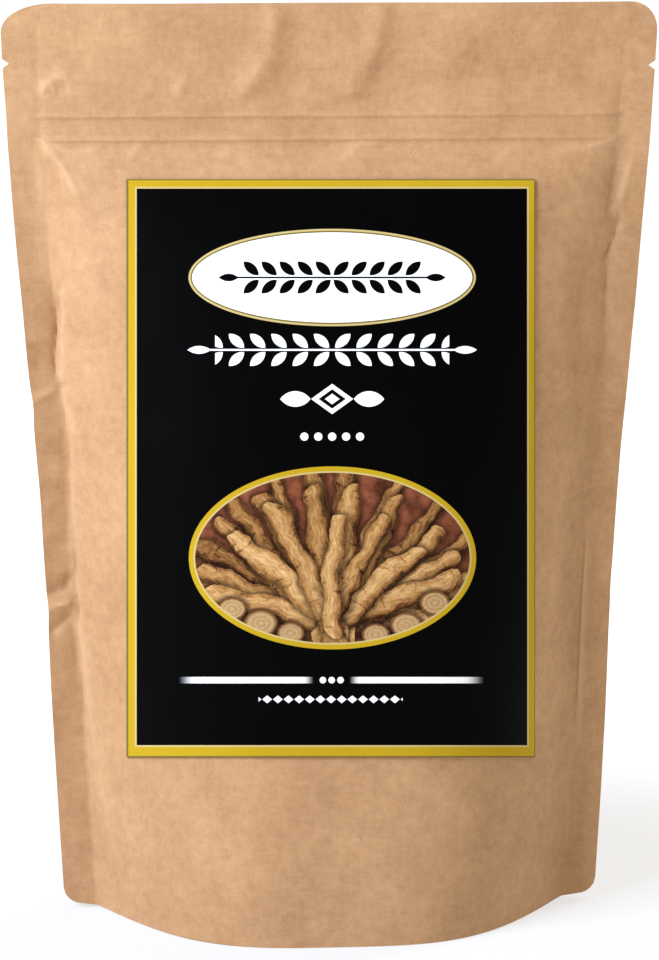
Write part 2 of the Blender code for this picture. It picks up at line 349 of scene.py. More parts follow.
@dataclass(frozen=True)
class KraftPaper:
    """Uncoated brown kraft paper with cloudy fibres."""

    name: str = "kraft_paper"
    light: Colour = (0.555, 0.318, 0.152)
    dark: Colour = (0.303, 0.148, 0.054)
    fibre: Colour = (0.210, 0.100, 0.040)
    worn: Colour = (0.580, 0.350, 0.180)
    roughness: float = 0.78
    specular: float = 0.55
    cloud_scale: float = 62.0
    mottle_scale: float = 420.0
    streak_scale: float = 1500.0
    grain_scale: float = 2600.0
    speck_scale: float = 520.0
    tone_weights: tuple[float, ...] = (0.85, 0.80, 0.28, 0.24, 0.40)
    height_weights: tuple[float, ...] = (0.45, 0.17, 0.13, 0.12, 0.15)
    height_depth: float = 0.00014
    hair_share: float = 0.35
    speck_share: float = 0.40
    worn_share: float = 0.50

    def material(self) -> bpy.types.Material:
        """Return the paper's material.

        Returns:
            The material.
        """
        board = Board(self.name)
        place = board.object_place()
        cloud = board.noise(place, self.cloud_scale, 4.0, 0.62)
        mottle = board.noise(place, self.mottle_scale, 4.0, 0.65)
        lying = self._streaks(board, place, (0.10, 1.0, 1.0))
        standing = self._streaks(board, place, (1.0, 1.0, 0.10))
        grain = board.noise(place, self.grain_scale, 2.0, 0.6)
        tone: Input = 0.5
        for layer, weight in zip((cloud, mottle, lying, standing, grain), self.tone_weights):
            tone = tone + (layer - 0.5) * weight
        colour = board.mix(tone, self.dark, self.light)
        hair = self._hairs(board, place, mottle)
        colour = board.mix(hair * self.hair_share, colour, self.fibre)
        colour = board.mix(self._specks(board, place) * self.speck_share, colour, self.fibre)
        colour = board.mix(board.attribute("wear") * self.worn_share, colour, self.worn)
        height: Input = 0.0
        for layer, weight in zip((mottle, lying, standing, grain, hair), self.height_weights):
            height = height + layer * weight
        roughness = self.roughness + (mottle - 0.5) * 0.14 - (cloud - 0.5) * 0.10
        return board.finish(colour, roughness, height, self.height_depth, specular_ior_level=self.specular)

    def _streaks(self, board: Board, place: Wire, stretch: Colour) -> Wire:
        """Return noise drawn out along one way of the sheet."""
        return board.noise(board.vector("MULTIPLY", place, stretch), self.streak_scale, 3.0, 0.6)

    @staticmethod
    def _hairs(board: Board, place: Wire, mottle: Wire) -> Wire:
        """Return thin dark fibres, few and far between.

        Args:
            board: The material's board.
            place: The place on the piece.
            mottle: The paper's mottle.

        Returns:
            1 on a fibre, 0 elsewhere.
        """
        ridge = abs(board.noise(place, 240.0, 1.0, 0.5, 1.8) - 0.5)
        where = board.noise(place, 95.0, 2.0, 0.5).ramp(0.56, 0.66)
        return (1.0 - ridge.ramp(0.004, 0.016)) * where * mottle.ramp(0.35, 0.6)

    def _specks(self, board: Board, place: Wire) -> Wire:
        """Return small dark specks of bark.

        Args:
            board: The material's board.
            place: The place on the piece.

        Returns:
            1 on a speck, 0 elsewhere.
        """
        sockets = {"Vector": place, "Scale": self.speck_scale}
        near = board.node("ShaderNodeTexVoronoi", {"feature": "F1"}, sockets, "Distance")
        pick = board.noise(place, 300.0, 0.0, 0.5)
        return (1.0 - near.ramp(0.05, 0.14)) * pick.ramp(0.66, 0.70)


@dataclass(frozen=True)
class ZipPlastic:
    """Milky soft plastic of the press zip."""

    name: str = "zip_plastic"
    dark: Colour = (0.70, 0.66, 0.58)
    light: Colour = (0.84, 0.81, 0.74)
    roughness: float = 0.34
    height_depth: float = 0.00003

    def material(self) -> bpy.types.Material:
        """Return the plastic's material.

        Returns:
            The material.
        """
        board = Board(self.name)
        place = board.object_place()
        cloud = board.noise(place, 300.0, 3.0)
        drawn = board.noise(board.vector("MULTIPLY", place, (0.05, 1.0, 1.0)), 3000.0, 2.0)
        colour = board.mix(cloud, self.dark, self.light)
        return board.finish(colour, self.roughness + (drawn - 0.5) * 0.2, drawn, self.height_depth)


@dataclass(frozen=True)
class DriedRootBark:
    """Dry tan bark with wrinkles along the root and dark scars."""

    name: str = "dried_root"
    dark: Colour = (0.235, 0.125, 0.055)
    light: Colour = (0.640, 0.430, 0.225)
    scar: Colour = (0.170, 0.085, 0.040)
    roughness: float = 0.82
    specular: float = 0.25
    height_depth: float = 0.0005

    def material(self) -> bpy.types.Material:
        """Return the bark's material.

        Returns:
            The material.
        """
        board = Board(self.name)
        place = board.object_place()
        drawn = board.vector("MULTIPLY", place, (1.0, 1.0, 0.14))
        wrinkle = board.noise(drawn, 900.0, 5.0, 0.62, 0.8)
        patch = board.noise(place, 120.0, 4.0, 0.6)
        ring = board.noise(board.vector("MULTIPLY", place, (0.25, 0.25, 1.0)), 700.0, 2.0, 0.5)
        tone = 0.5 + (wrinkle - 0.5) * 1.4 + (patch - 0.5) * 0.9
        colour = board.mix(tone, self.dark, self.light)
        colour = board.mix(ring.ramp(0.62, 0.70) * 0.5, colour, self.scar)
        height = wrinkle * 0.75 + ring * 0.25
        roughness = self.roughness + (patch - 0.5) * 0.15
        return board.finish(colour, roughness, height, self.height_depth, specular_ior_level=self.specular)


@dataclass(frozen=True)
class Stick:
    """One dried stick of the label's picture, in millimetres and degrees."""

    x: float
    y: float
    turn: float
    length: float
    width: float
    bend: float
    tone: float


@dataclass(frozen=True)
class Sheaf:
    """One row of sticks that fan out from a foot, in millimetres and degrees."""

    count: int
    reach: Place
    first: float
    last: float
    length: float
    width: float
    tone: float
    stray: float = 1.2
    stray_length: float = 0.16
    stray_width: float = 0.14
    stray_tone: float = 0.10
    stray_turn: float = 7.0
    stray_bend: float = 0.005

    def sticks(self, foot: Place, seed: int) -> list[Stick]:
        """Return the row's sticks, from both sides towards the middle.

        Args:
            foot: Where the fan comes together.
            seed: Picks how much each stick strays.

        Returns:
            The sticks, hindmost first.
        """
        draw = np.random.default_rng(seed)
        made = []
        for number in range(self.count):
            step = number // 2 if number % 2 == 0 else self.count - 1 - number // 2
            turn = self.first + (self.last - self.first) * step / (self.count - 1)
            stray = draw.uniform(-1.0, 1.0, 5)
            angle = math.radians(turn)
            x = foot[0] + self.reach[0] * math.cos(angle) + self.stray * stray[0]
            y = foot[1] + self.reach[1] * math.sin(angle) + self.stray * stray[1]
            length = self.length * (1.0 + self.stray_length * stray[2])
            width = self.width * (1.0 + self.stray_width * stray[3])
            tone = self.tone + self.stray_tone * stray[4]
            turn += self.stray_turn * stray[3]
            made.append(Stick(x, y, turn, length, width, self.stray_bend * stray[2], tone))
        return made


@dataclass(frozen=True)
class LabelPrint:
    """Satin print: a gold bordered black field with ornaments and a picture."""

    name: str = "label_print"
    plan_name: str = "label_plan"
    sheet_middle: Place = (0.15, 2.90)
    sheet_half: Place = (49.85, 70.60)
    field_middle: Place = (0.30, 3.20)
    field_half: Place = (47.70, 68.00)
    black: Colour = (0.0004, 0.0004, 0.0004)
    gold: Colour = (0.440, 0.285, 0.012)
    olive: Colour = (0.160, 0.118, 0.020)
    pale: Colour = (0.500, 0.390, 0.160)
    white: Colour = (0.860, 0.860, 0.850)
    roughness: float = 0.46
    specular: float = 0.03
    height_depth: float = 0.00002
    soft: float = 0.07
    border_edge: float = 0.28
    border_rim: float = 0.42
    badge: Place = (0.37, 49.48)
    badge_half: Place = (35.1, 11.9)
    badge_rims: Place = (0.50, 0.88)
    band_height: float = 31.8
    emblem_height: float = 19.8
    bead_height: float = 10.6
    bead_pitch: float = 3.4
    rule: Place = (0.20, -48.90)
    rule_half: Place = (37.4, 0.78)
    rule_gap: float = 4.3
    dot_pitch: float = 2.15
    dot_radius: float = 0.80
    seed_row: Place = (0.10, -53.6)
    seed_pitch: float = 2.6
    picture_rims: Place = (1.15, 1.55)
    picture: Place = (0.44, -19.03)
    picture_half: Place = (35.1, 22.35)
    shadow: Colour = (0.010, 0.004, 0.002)
    ground_dark: Colour = (0.050, 0.014, 0.007)
    ground_light: Colour = (0.260, 0.080, 0.036)
    bark_stops: tuple[tuple[float, Colour], ...] = (
        (0.0, (0.020, 0.007, 0.003)),
        (0.26, (0.105, 0.040, 0.012)),
        (0.56, (0.330, 0.158, 0.048)),
        (1.0, (0.690, 0.440, 0.185)),
    )
    slice_dark: Colour = (0.260, 0.135, 0.050)
    slice_light: Colour = (0.560, 0.375, 0.180)
    slice_rim: Colour = (0.150, 0.065, 0.022)
    slice_shadow: Colour = (0.012, 0.005, 0.003)
    first_seed: int = 5
    foot: Place = (0.0, -17.0)
    sheaves: tuple[Sheaf, ...] = (
        Sheaf(12, (27.0, 27.0), 2.0, 178.0, 30.0, 4.4, -0.12),
        Sheaf(10, (22.0, 20.0), 10.0, 170.0, 34.0, 4.8, 0.00),
        Sheaf(7, (15.0, 14.0), 22.0, 158.0, 34.0, 5.2, 0.10),
    )
    slices: tuple[tuple[float, float, float], ...] = (
        (-24.5, -12.5, 3.5),
        (25.0, -11.0, 3.7),
        (-17.5, -16.0, 4.1),
        (18.0, -16.5, 3.9),
        (-10.2, -18.4, 3.3),
        (10.6, -18.8, 3.4),
    )

    def material(self) -> bpy.types.Material:
        """Return the print's material.

        Returns:
            The material.
        """
        board = Board(self.name)
        x, y = board.plan(self.plan_name)
        place = board.object_place()
        colour = self._frame(board, x, y)
        colour = self._badge(board, x, y, colour)
        colour = self._ornaments(board, x, y, colour)
        colour = self._picture(board, x, y, colour)
        colour = self._rule_and_dots(board, x, y, colour)
        grain = board.noise(place, 1800.0, 3.0, 0.6)
        sheen = board.noise(place, 45.0, 2.0, 0.5)
        roughness = self.roughness + (grain - 0.5) * 0.12 + (sheen - 0.5) * 0.10
        return board.finish(colour, roughness, grain, self.height_depth, specular_ior_level=self.specular)

    def _inside(self, distance: Wire) -> Wire:
        """Return 1 where a distance is below zero, with a soft edge."""
        return 1.0 - distance.ramp(-0.5 * self.soft, 0.5 * self.soft)

    def _paint(self, board: Board, under: Input, distance: Wire, colour: Input) -> Wire:
        """Lay a colour over another where a distance is below zero."""
        return board.mix(self._inside(distance), under, colour)

    @staticmethod
    def _box(x: Wire, y: Wire, half_x: float, half_y: float) -> Wire:
        """Return how far a point is outside a box about zero."""
        return (abs(x) - half_x).most(abs(y) - half_y)

    @staticmethod
    def _oval(x: Wire, y: Wire, half_x: float, half_y: float) -> Wire:
        """Return how far a point is outside an oval about zero.

        Args:
            x: Places across, in millimetres.
            y: Places up, in millimetres.
            half_x: Half the oval's width.
            half_y: Half its height.

        Returns:
            The distance, below zero inside.
        """
        reach = ((x / half_x) ** 2.0 + (y / half_y) ** 2.0).root()
        slope = ((x / half_x**2) ** 2.0 + (y / half_y**2) ** 2.0).root()
        return reach * (reach - 1.0) / slope.most(1e-5)

    @staticmethod
    def _leaf(x: Wire, y: Wire, length: float, width: float) -> Wire:
        """Return how far a point is outside a leaf that lies along x.

        Args:
            x: Places across, in millimetres.
            y: Places up, in millimetres.
            length: The leaf's length.
            width: Its width.

        Returns:
            The distance, below zero inside.
        """
        half = 0.5 * length
        sag = 0.5 * width
        radius = (half * half + sag * sag) / (2.0 * sag)
        return (x**2.0 + (abs(y) + (radius - sag)) ** 2.0).root() - radius

    @staticmethod
    def _turned(x: Wire, y: Wire, degrees: float) -> tuple[Wire, Wire]:
        """Return both coordinates along axes turned by an angle.

        Args:
            x: Places across, in millimetres.
            y: Places up, in millimetres.
            degrees: The angle.

        Returns:
            The turned coordinates.
        """
        cos = math.cos(math.radians(degrees))
        sin = math.sin(math.radians(degrees))
        return x * cos + y * sin, y * cos - x * sin

    def _frame(self, board: Board, x: Wire, y: Wire) -> Wire:
        """Return the black field inside its gold border.

        Args:
            board: The material's board.
            x: Places across, in millimetres.
            y: Places up, in millimetres.

        Returns:
            The colour.
        """
        sheet = self._box(x - self.sheet_middle[0], y - self.sheet_middle[1], *self.sheet_half)
        inner = self._box(x - self.field_middle[0], y - self.field_middle[1], *self.field_half)
        colour = board.mix(self._inside(sheet + self.border_edge), self.olive, self.gold)
        colour = self._paint(board, colour, inner - self.border_rim, self.pale)
        return self._paint(board, colour, inner, self.black)

    def _badge(self, board: Board, x: Wire, y: Wire, colour: Wire) -> Wire:
        """Return the colour with the white oval and its sprig.

        Args:
            board: The material's board.
            x: Places across, in millimetres.
            y: Places up, in millimetres.
            colour: What lies underneath.

        Returns:
            The colour with the badge on it.
        """
        x = x - self.badge[0]
        y = y - self.badge[1]
        oval = self._oval(x, y, *self.badge_half)
        colour = self._paint(board, colour, oval, self.pale)
        colour = self._paint(board, colour, oval + self.badge_rims[0], self.olive)
        colour = self._paint(board, colour, oval + self.badge_rims[1], self.white)
        return self._sprig(board, x, y, colour, self.black, 22.0, 4.4, 4.1)

    def _sprig(
        self,
        board: Board,
        x: Wire,
        y: Wire,
        colour: Wire,
        ink: Colour,
        reach: float,
        pitch: float,
        rise: float,
    ) -> Wire:
        """Lay a level stem with paired leaves that point away from its middle.

        Args:
            board: The material's board.
            x: Distance along the stem.
            y: Distance above the stem.
            colour: What lies underneath.
            ink: The sprig's colour.
            reach: Half the length of the stem.
            pitch: The distance from one pair of leaves to the next.
            rise: How far the leaves stand from the stem.

        Returns:
            The colour with the sprig on it.
        """
        along = abs(x)
        cell = (along - 0.5 * pitch).fold(pitch)
        across, above = self._turned(cell, abs(y) - 0.54 * rise, 42.0)
        leaves = self._leaf(across, above, 1.22 * rise, 0.56 * rise)
        leaves = leaves.most(along - reach)
        stem = self._box(x, y, reach + 0.3 * pitch, 0.22)
        tip = self._leaf(along - (reach + 0.75 * pitch), y, 1.1 * pitch, 0.46 * rise)
        return self._paint(board, colour, leaves.least(stem).least(tip), ink)

    def _ornaments(self, board: Board, x: Wire, y: Wire, colour: Wire) -> Wire:
        """Return the colour with the white ornaments under the badge.

        Args:
            board: The material's board.
            x: Places across, in millimetres.
            y: Places up, in millimetres.
            colour: What lies underneath.

        Returns:
            The colour with the ornaments on it.
        """
        x = x - self.badge[0]
        colour = self._sprig(board, x, y - self.band_height, colour, self.white, 28.6, 5.2, 4.1)
        high = y - self.emblem_height
        side = abs(x)
        lozenge = side * 0.72 + abs(high)
        ring = (lozenge - 3.7).most(2.4 - lozenge)
        colour = self._paint(board, colour, ring.least(lozenge - 1.3), self.white)
        petals = self._leaf(side - 9.0, high, 7.4, 3.8)
        colour = self._paint(board, colour, petals, self.white)
        beads = (x.fold(self.bead_pitch) ** 2.0 + (y - self.bead_height) ** 2.0).root() - 1.0
        return self._paint(board, colour, beads.most(side - 2.5 * self.bead_pitch), self.white)

    def _picture(self, board: Board, x: Wire, y: Wire, colour: Wire) -> Wire:
        """Return the colour with the oval picture of a sheaf of dried sticks.

        Args:
            board: The material's board.
            x: Places across, in millimetres.
            y: Places up, in millimetres.
            colour: What lies underneath.

        Returns:
            The colour with the picture on it.
        """
        x = x - self.picture[0]
        y = y - self.picture[1]
        oval = self._oval(x, y, *self.picture_half)
        colour = self._paint(board, colour, oval, self.gold)
        colour = self._paint(board, colour, oval + self.picture_rims[0], self.pale)
        flat = board.join(x, y)
        scene = self._sheaf(board, self._crooked(board, flat), self._ground(board, flat))
        scene = self._slices(board, flat, scene)
        return self._paint(board, colour, oval + self.picture_rims[1], scene)

    def _ground(self, board: Board, flat: Wire) -> Wire:
        """Return the picture's reddish brown ground."""
        cloud = board.noise(flat, 0.20, 4.0, 0.6)
        return board.mix(cloud.ramp(0.25, 0.75), self.ground_dark, self.ground_light)

    @staticmethod
    def _crooked(board: Board, flat: Wire) -> Wire:
        """Return the picture's plane, bent so that straight sticks grow crooked.

        Args:
            board: The material's board.
            flat: The plane of the picture.

        Returns:
            The bent plane.
        """
        bends = []
        for scale, detail, reach in ((0.13, 1.0, 2.3), (0.75, 2.0, 0.45)):
            sockets = {"Vector": flat, "Scale": scale, "Detail": detail}
            bend = board.node("ShaderNodeTexNoise", sockets=sockets, output="Color")
            span = (2.0 * reach, 2.0 * reach, 0.0)
            bends.append(board.vector("MULTIPLY_ADD", bend, span, (-reach, -reach, 0.0)))
        return board.vector("ADD", flat, board.vector("ADD", *bends))

    def _sheaf(self, board: Board, flat: Wire, ground: Wire) -> Wire:
        """Lay every stick over the ground and shade what is on top.

        Args:
            board: The material's board.
            flat: The bent plane of the picture.
            ground: The ground's colour.

        Returns:
            The picture's colour.
        """
        seat: Input = (0.0, 0.0, 0.0)
        shade: Input = 1.0
        cover: Input = 0.0
        number = 0
        for row, sheaf in enumerate(self.sheaves):
            for stick in sheaf.sticks(self.foot, self.first_seed + row):
                seat, shade, cover = self._stick(board, flat, stick, number, seat, shade, cover)
                number += 1
        along, side, lit = (board.part(seat, axis) for axis in range(3))
        wrinkle = board.noise(board.join(along * 0.26, side * 2.4), 1.5, 4.0, 0.62, 0.6)
        ring = board.noise(board.join(along, side * 0.5), 0.9, 1.0)
        lit = lit + (1.0 - side**2.0).most(0.0).root() * 0.60
        lit = lit + (wrinkle - 0.5) * 1.0 - ring.ramp(0.60, 0.72) * 0.22
        bark = board.node("ShaderNodeValToRGB", {"stops": self.bark_stops}, {0: lit})
        scene = board.mix(cover, ground, bark)
        return board.mix(shade, self.shadow, scene)

    @staticmethod
    def _stick(
        board: Board,
        flat: Wire,
        stick: Stick,
        number: int,
        seat: Input,
        shade: Input,
        cover: Input,
    ) -> tuple[Wire, Wire, Wire]:
        """Lay one stick and its shadow over those before it.

        Args:
            board: The material's board.
            flat: The bent plane of the picture.
            stick: The stick.
            number: Its place in the row, which shifts its wrinkles.
            seat: Along, side and light of the stick on top so far.
            shade: How much light reaches what is on top so far.
            cover: Where sticks lie so far.

        Returns:
            The seat, shade and cover with this stick.
        """
        turn = (0.0, 0.0, math.radians(stick.turn))
        sockets = {"Vector": flat, "Location": (stick.x, stick.y, 0.0), "Rotation": turn}
        own = board.node("ShaderNodeMapping", {"vector_type": "TEXTURE"}, sockets)
        along = board.part(own, 0)
        across = board.part(own, 1) - along**2.0 * stick.bend
        radius = along * (-0.20 * stick.width / stick.length) + 0.5 * stick.width
        past = (abs(along) - (0.5 * stick.length - 0.35 * stick.width)).most(0.0)
        distance = board.length(board.join(across, past)) - radius
        mask = 1.0 - distance.ramp(-0.12, 0.12)
        near = 1.0 - distance.ramp(-0.3, 1.8)
        shade = shade * (1.0 - near * 0.80)
        shade = shade + (1.0 - shade) * mask
        side = across / radius
        lean = 0.30 * math.cos(math.radians(stick.turn - 35.0))
        light = side * lean + stick.tone
        mine = board.join(along + 41.0 * number, side, light)
        seat = board.node("ShaderNodeMix", {"data_type": "VECTOR"}, {0: mask, 4: seat, 5: mine}, 1)
        return seat, shade, mask.most(cover)

    def _slices(self, board: Board, flat: Wire, scene: Wire) -> Wire:
        """Lay round cut slices, each with its rings and rim, over the picture.

        Args:
            board: The material's board.
            flat: The plane of the picture.
            scene: The picture so far.

        Returns:
            The picture with the slices.
        """
        fibre = board.noise(flat, 1.6, 3.0, 0.6)
        for x, y, radius in self.slices:
            own = board.vector("SUBTRACT", flat, (x, y, 0.0))
            own = board.vector("MULTIPLY", own, (1.0, 1.25, 0.0))
            length = board.length(own) + (fibre - 0.5) * 0.9
            scene = board.mix((1.0 - length.ramp(radius, radius + 1.7)) * 0.8, scene, self.slice_shadow)
            rings = (length * 5.2).math("SINE") * 0.16 + fibre * 0.9
            face = board.mix(rings, self.slice_dark, self.slice_light)
            face = board.mix(length.ramp(radius - 0.9, radius - 0.3), face, self.slice_rim)
            scene = board.mix(1.0 - length.ramp(radius - 0.1, radius + 0.1), scene, face)
        return scene

    def _rule_and_dots(self, board: Board, x: Wire, y: Wire, colour: Wire) -> Wire:
        """Return the colour with the split rule, its dots and the last row.

        Args:
            board: The material's board.
            x: Places across, in millimetres.
            y: Places up, in millimetres.
            colour: What lies underneath.

        Returns:
            The colour with those on it.
        """
        level = y - self.rule[1]
        side = x - self.rule[0]
        fade = (self.rule_half[0] - abs(side)).ramp(0.0, 5.2) * (abs(side) - self.rule_gap).ramp(0.0, 3.0)
        rule = self._inside(abs(level) - self.rule_half[1]) * fade
        colour = board.mix(rule, colour, self.white)
        dots = ((side - 0.05).fold(self.dot_pitch) ** 2.0 + level**2.0).root() - self.dot_radius
        colour = self._paint(board, colour, dots.most(abs(side) - 3.1), self.white)
        seeds = abs((x - self.seed_row[0]).fold(self.seed_pitch)) * 0.8 + abs(y - self.seed_row[1]) - 0.95
        return self._paint(board, colour, seeds.most(abs(x) - 17.6), self.white)


# The pouch's own surface


@dataclass(frozen=True)
class Station:
    """Shape of a panel at one height, in metres."""

    height: float
    half_width: float
    depth: float
    flatness: float
    softness: float


@dataclass(frozen=True)
class PouchForm:
    """Sizes and bare surface of the standing pouch, shared by its sheets."""

    height: float = 0.2288
    sheet: float = 0.0006
    gap: float = 0.0003
    seal: float = 0.008
    corner_height: float = 0.0070
    corner_left: float = 0.0125
    corner_right: float = 0.0065
    corner_bottom: float = 0.0045
    notch_left: float = 0.2144
    notch_right: float = 0.2134
    notch_half: float = 0.0011
    notch_depth: float = 0.0017
    curl: float = 0.0011
    curl_reach: float = 0.020
    curl_start: float = 0.85
    step_across: float = 0.004
    step_up: float = 0.0002
    steepest: float = 0.3
    stations: tuple[Station, ...] = (
        Station(0.0000, 0.0680, 0.0335, 3.4, 1.30),
        Station(0.0270, 0.0692, 0.0322, 3.4, 1.24),
        Station(0.0540, 0.0703, 0.0300, 3.3, 1.18),
        Station(0.0800, 0.0711, 0.0276, 3.2, 1.12),
        Station(0.1050, 0.0722, 0.0250, 3.1, 1.08),
        Station(0.1340, 0.0742, 0.0208, 3.1, 1.06),
        Station(0.1600, 0.0762, 0.0155, 3.3, 1.05),
        Station(0.1800, 0.0776, 0.0085, 4.6, 1.05),
        Station(0.1900, 0.0782, 0.0034, 9.0, 1.05),
        Station(0.1945, 0.0785, 0.0013, 20.0, 1.00),
        Station(0.2035, 0.0789, 0.0012, 20.0, 1.00),
        Station(0.2140, 0.0795, 0.0006, 12.0, 1.00),
        Station(0.2288, 0.0800, 0.0003, 8.0, 1.00),
    )

    def shape(self, z: Array) -> tuple[Array, Array, Array, Array]:
        """Blend the stations.

        Args:
            z: Heights.

        Returns:
            Half width, bulge depth and both exponents at those heights.
        """
        rows = [(s.height, s.half_width, s.depth, s.flatness, s.softness) for s in self.stations]
        table = np.array(rows)
        heights = table[:, 0]
        values = table[:, 1:]
        chords = np.diff(values, axis=0) / np.diff(heights)[:, None]
        below, above = chords[:-1], chords[1:]
        total = np.where(below * above > 0.0, below + above, 1.0)
        inner = np.where(below * above > 0.0, 2.0 * below * above / total, 0.0)
        slopes = np.vstack([chords[:1], inner, chords[-1:]])
        at = np.clip(np.searchsorted(heights, z, side="right") - 1, 0, len(rows) - 2)
        span = (heights[at + 1] - heights[at])[..., None]
        t = np.clip((np.asarray(z)[..., None] - heights[at][..., None]) / span, 0.0, 1.0)
        blend = (2 * t**3 - 3 * t**2 + 1) * values[at] + (3 * t**2 - 2 * t**3) * values[at + 1]
        blend += span * ((t**3 - 2 * t**2 + t) * slopes[at] + (t**3 - t**2) * slopes[at + 1])
        return blend[..., 0], blend[..., 1], blend[..., 2], blend[..., 3]

    @staticmethod
    def _round_off(distance: Array, height: float, width: Array | float) -> Array:
        """Return how far an elliptic corner cuts in, that far into its height."""
        share = np.clip(distance / height, 0.0, 1.0)
        return width * (1.0 - np.sqrt(1.0 - share * share))

    def edge(self, side: Array, z: Array) -> Array:
        """Return the outline's half width on a side, corners and notch cut.

        Args:
            side: Below zero on the left.
            z: Heights.

        Returns:
            The half width.
        """
        edge = self.shape(z)[0]
        width = np.where(side < 0, self.corner_left, self.corner_right)
        edge = edge - self._round_off(z - (self.height - self.corner_height), self.corner_height, width)
        edge = edge - self._round_off(self.corner_bottom - z, self.corner_bottom, self.corner_bottom)
        middle = np.where(side < 0, self.notch_left, self.notch_right)
        notch = np.maximum(1.0 - np.abs(z - middle) / self.notch_half, 0.0)
        return edge - self.notch_depth * notch

    def bag(self, side: Array, z: Array) -> Array:
        """Return the half width between the seals."""
        edge = self.edge(side, z)
        return np.minimum(self.shape(z)[0] - self.seal, edge - 0.5 * self.seal)

    def point(self, column: Array | float, z: Array | float) -> Array:
        """Return points on the front panel's bare outer face.

        Args:
            column: Share of the bag's half width, and from 1 to 2 of the seal.
            z: Heights.

        Returns:
            The points.
        """
        column, z = np.broadcast_arrays(np.asarray(column, float), np.asarray(z, float))
        side = np.where(column < 0, -1.0, 1.0)
        share = np.abs(column)
        _, depth, flatness, softness = self.shape(z)
        edge = self.edge(side, z)
        bag = self.bag(side, z)
        across = np.where(share <= 1.0, share * bag, bag + (share - 1.0) * (edge - bag))
        inside = np.maximum(1.0 - np.minimum(share, 1.0) ** flatness, 0.0)
        y = -(0.5 * self.gap + self.sheet) - depth * inside**softness
        start = self.curl_start * bag
        reach = np.maximum((across - start) / (edge - start), 0.0)
        lift = self.curl * reach**2 * np.maximum(1.0 - z / self.curl_reach, 0.0)
        return np.stack([side * across, y, z + lift], axis=-1)

    def normal(self, column: Array | float, z: Array | float) -> Array:
        """Return the outward directions there; the rims stay level.

        Args:
            column: Share of the bag's half width, and from 1 to 2 of the seal.
            z: Heights.

        Returns:
            The directions, one metre long.
        """
        column, z = np.broadcast_arrays(np.asarray(column, float), np.asarray(z, float))
        right = self.point(np.minimum(column + self.step_across, 2.0), z)
        left = self.point(np.maximum(column - self.step_across, -2.0), z)
        above = self.point(column, np.minimum(z + self.step_up, self.height))
        below = self.point(column, np.maximum(z - self.step_up, 0.0))
        normal = np.cross(right - left, above - below)
        level = (z <= 0.0) | (z >= self.height)
        normal[..., 2] = np.where(level, 0.0, normal[..., 2])
        return normal / np.linalg.norm(normal, axis=-1, keepdims=True)

    def room(self, column: Array, z: Array) -> Array:
        """Return the half depth inside the panels that the gusset may fill."""
        facing = np.maximum(-self.normal(column, z)[..., 1], self.steepest)
        return -self.point(column, z)[..., 1] - (self.sheet + self.gap) / facing


def smooth_step(value: Array, low: float, high: float) -> Array:
    """Return a smooth step from 0 at low to 1 at high."""
    t = np.clip((value - low) / (high - low), 0.0, 1.0)
    return t * t * (3.0 - 2.0 * t)


class SoftNoise:
    """Smooth random waves over a plane, the same on every run."""

    size: int = 64
    start: float = 20.0

    def __init__(self, seed: int, cell: Place) -> None:
        """Fill the lattice.

        Args:
            seed: Picks the waves.
            cell: The width and height of one cell, in millimetres.
        """
        self.cell = cell
        self.lattice = np.random.default_rng(seed).uniform(-1.0, 1.0, (self.size, self.size))

    def at(self, x: Array, z: Array) -> Array:
        """Return the waves' height, from -1 to 1, at places in millimetres.

        Args:
            x: Places across.
            z: Places up.

        Returns:
            The height.
        """
        u = x / self.cell[0] + self.start
        v = z / self.cell[1] + self.start
        column = np.floor(u).astype(int)
        row = np.floor(v).astype(int)
        s = smooth_step(u - column, 0.0, 1.0)
        t = smooth_step(v - row, 0.0, 1.0)
        grid = self.lattice
        left, right = column % self.size, (column + 1) % self.size
        lower, upper = row % self.size, (row + 1) % self.size
        below = grid[lower, left] * (1 - s) + grid[lower, right] * s
        above = grid[upper, left] * (1 - s) + grid[upper, right] * s
        return below * (1 - t) + above * t


@dataclass(frozen=True)
class Crease:
    """A line folded or pressed into a sheet, in millimetres."""

    path: tuple[Place, ...]
    rise: float
    width: float
    sharpness: float = 1.2
    fade: float = 0.25

    def height(self, x: Array, z: Array) -> Array:
        """Return the crease's height at places of the sheet.

        Args:
            x: Places across the sheet.
            z: Places up the sheet.

        Returns:
            The height, in millimetres.
        """
        nearest = np.full(x.shape, np.inf)
        along = np.zeros(x.shape)
        lengths = [math.dist(a, b) for a, b in zip(self.path, self.path[1:])]
        total = sum(lengths)
        passed = 0.0
        for (ax, az), (bx, bz), length in zip(self.path, self.path[1:], lengths):
            t = ((x - ax) * (bx - ax) + (z - az) * (bz - az)) / length**2
            t = np.clip(t, 0.0, 1.0)
            away = np.hypot(x - ax - t * (bx - ax), z - az - t * (bz - az))
            along = np.where(away < nearest, (passed + t * length) / total, along)
            nearest = np.minimum(nearest, away)
            passed += length
        strength = np.exp(-((nearest / self.width) ** self.sharpness))
        if self.fade > 0.0:
            strength = strength * smooth_step(along, 0.0, self.fade)
            strength = strength * smooth_step(1.0 - along, 0.0, self.fade)
        return self.rise * strength

    def mirrored(self, stretch: float) -> "Crease":
        """Return the crease on the other side, moved up by a stretch."""
        path = tuple((-x, z * stretch) for x, z in self.path)
        return Crease(path, self.rise, self.width, self.sharpness, self.fade)


class Face(Enum):
    """Which way a panel faces, as the sign of its y."""

    FRONT = -1
    BACK = 1


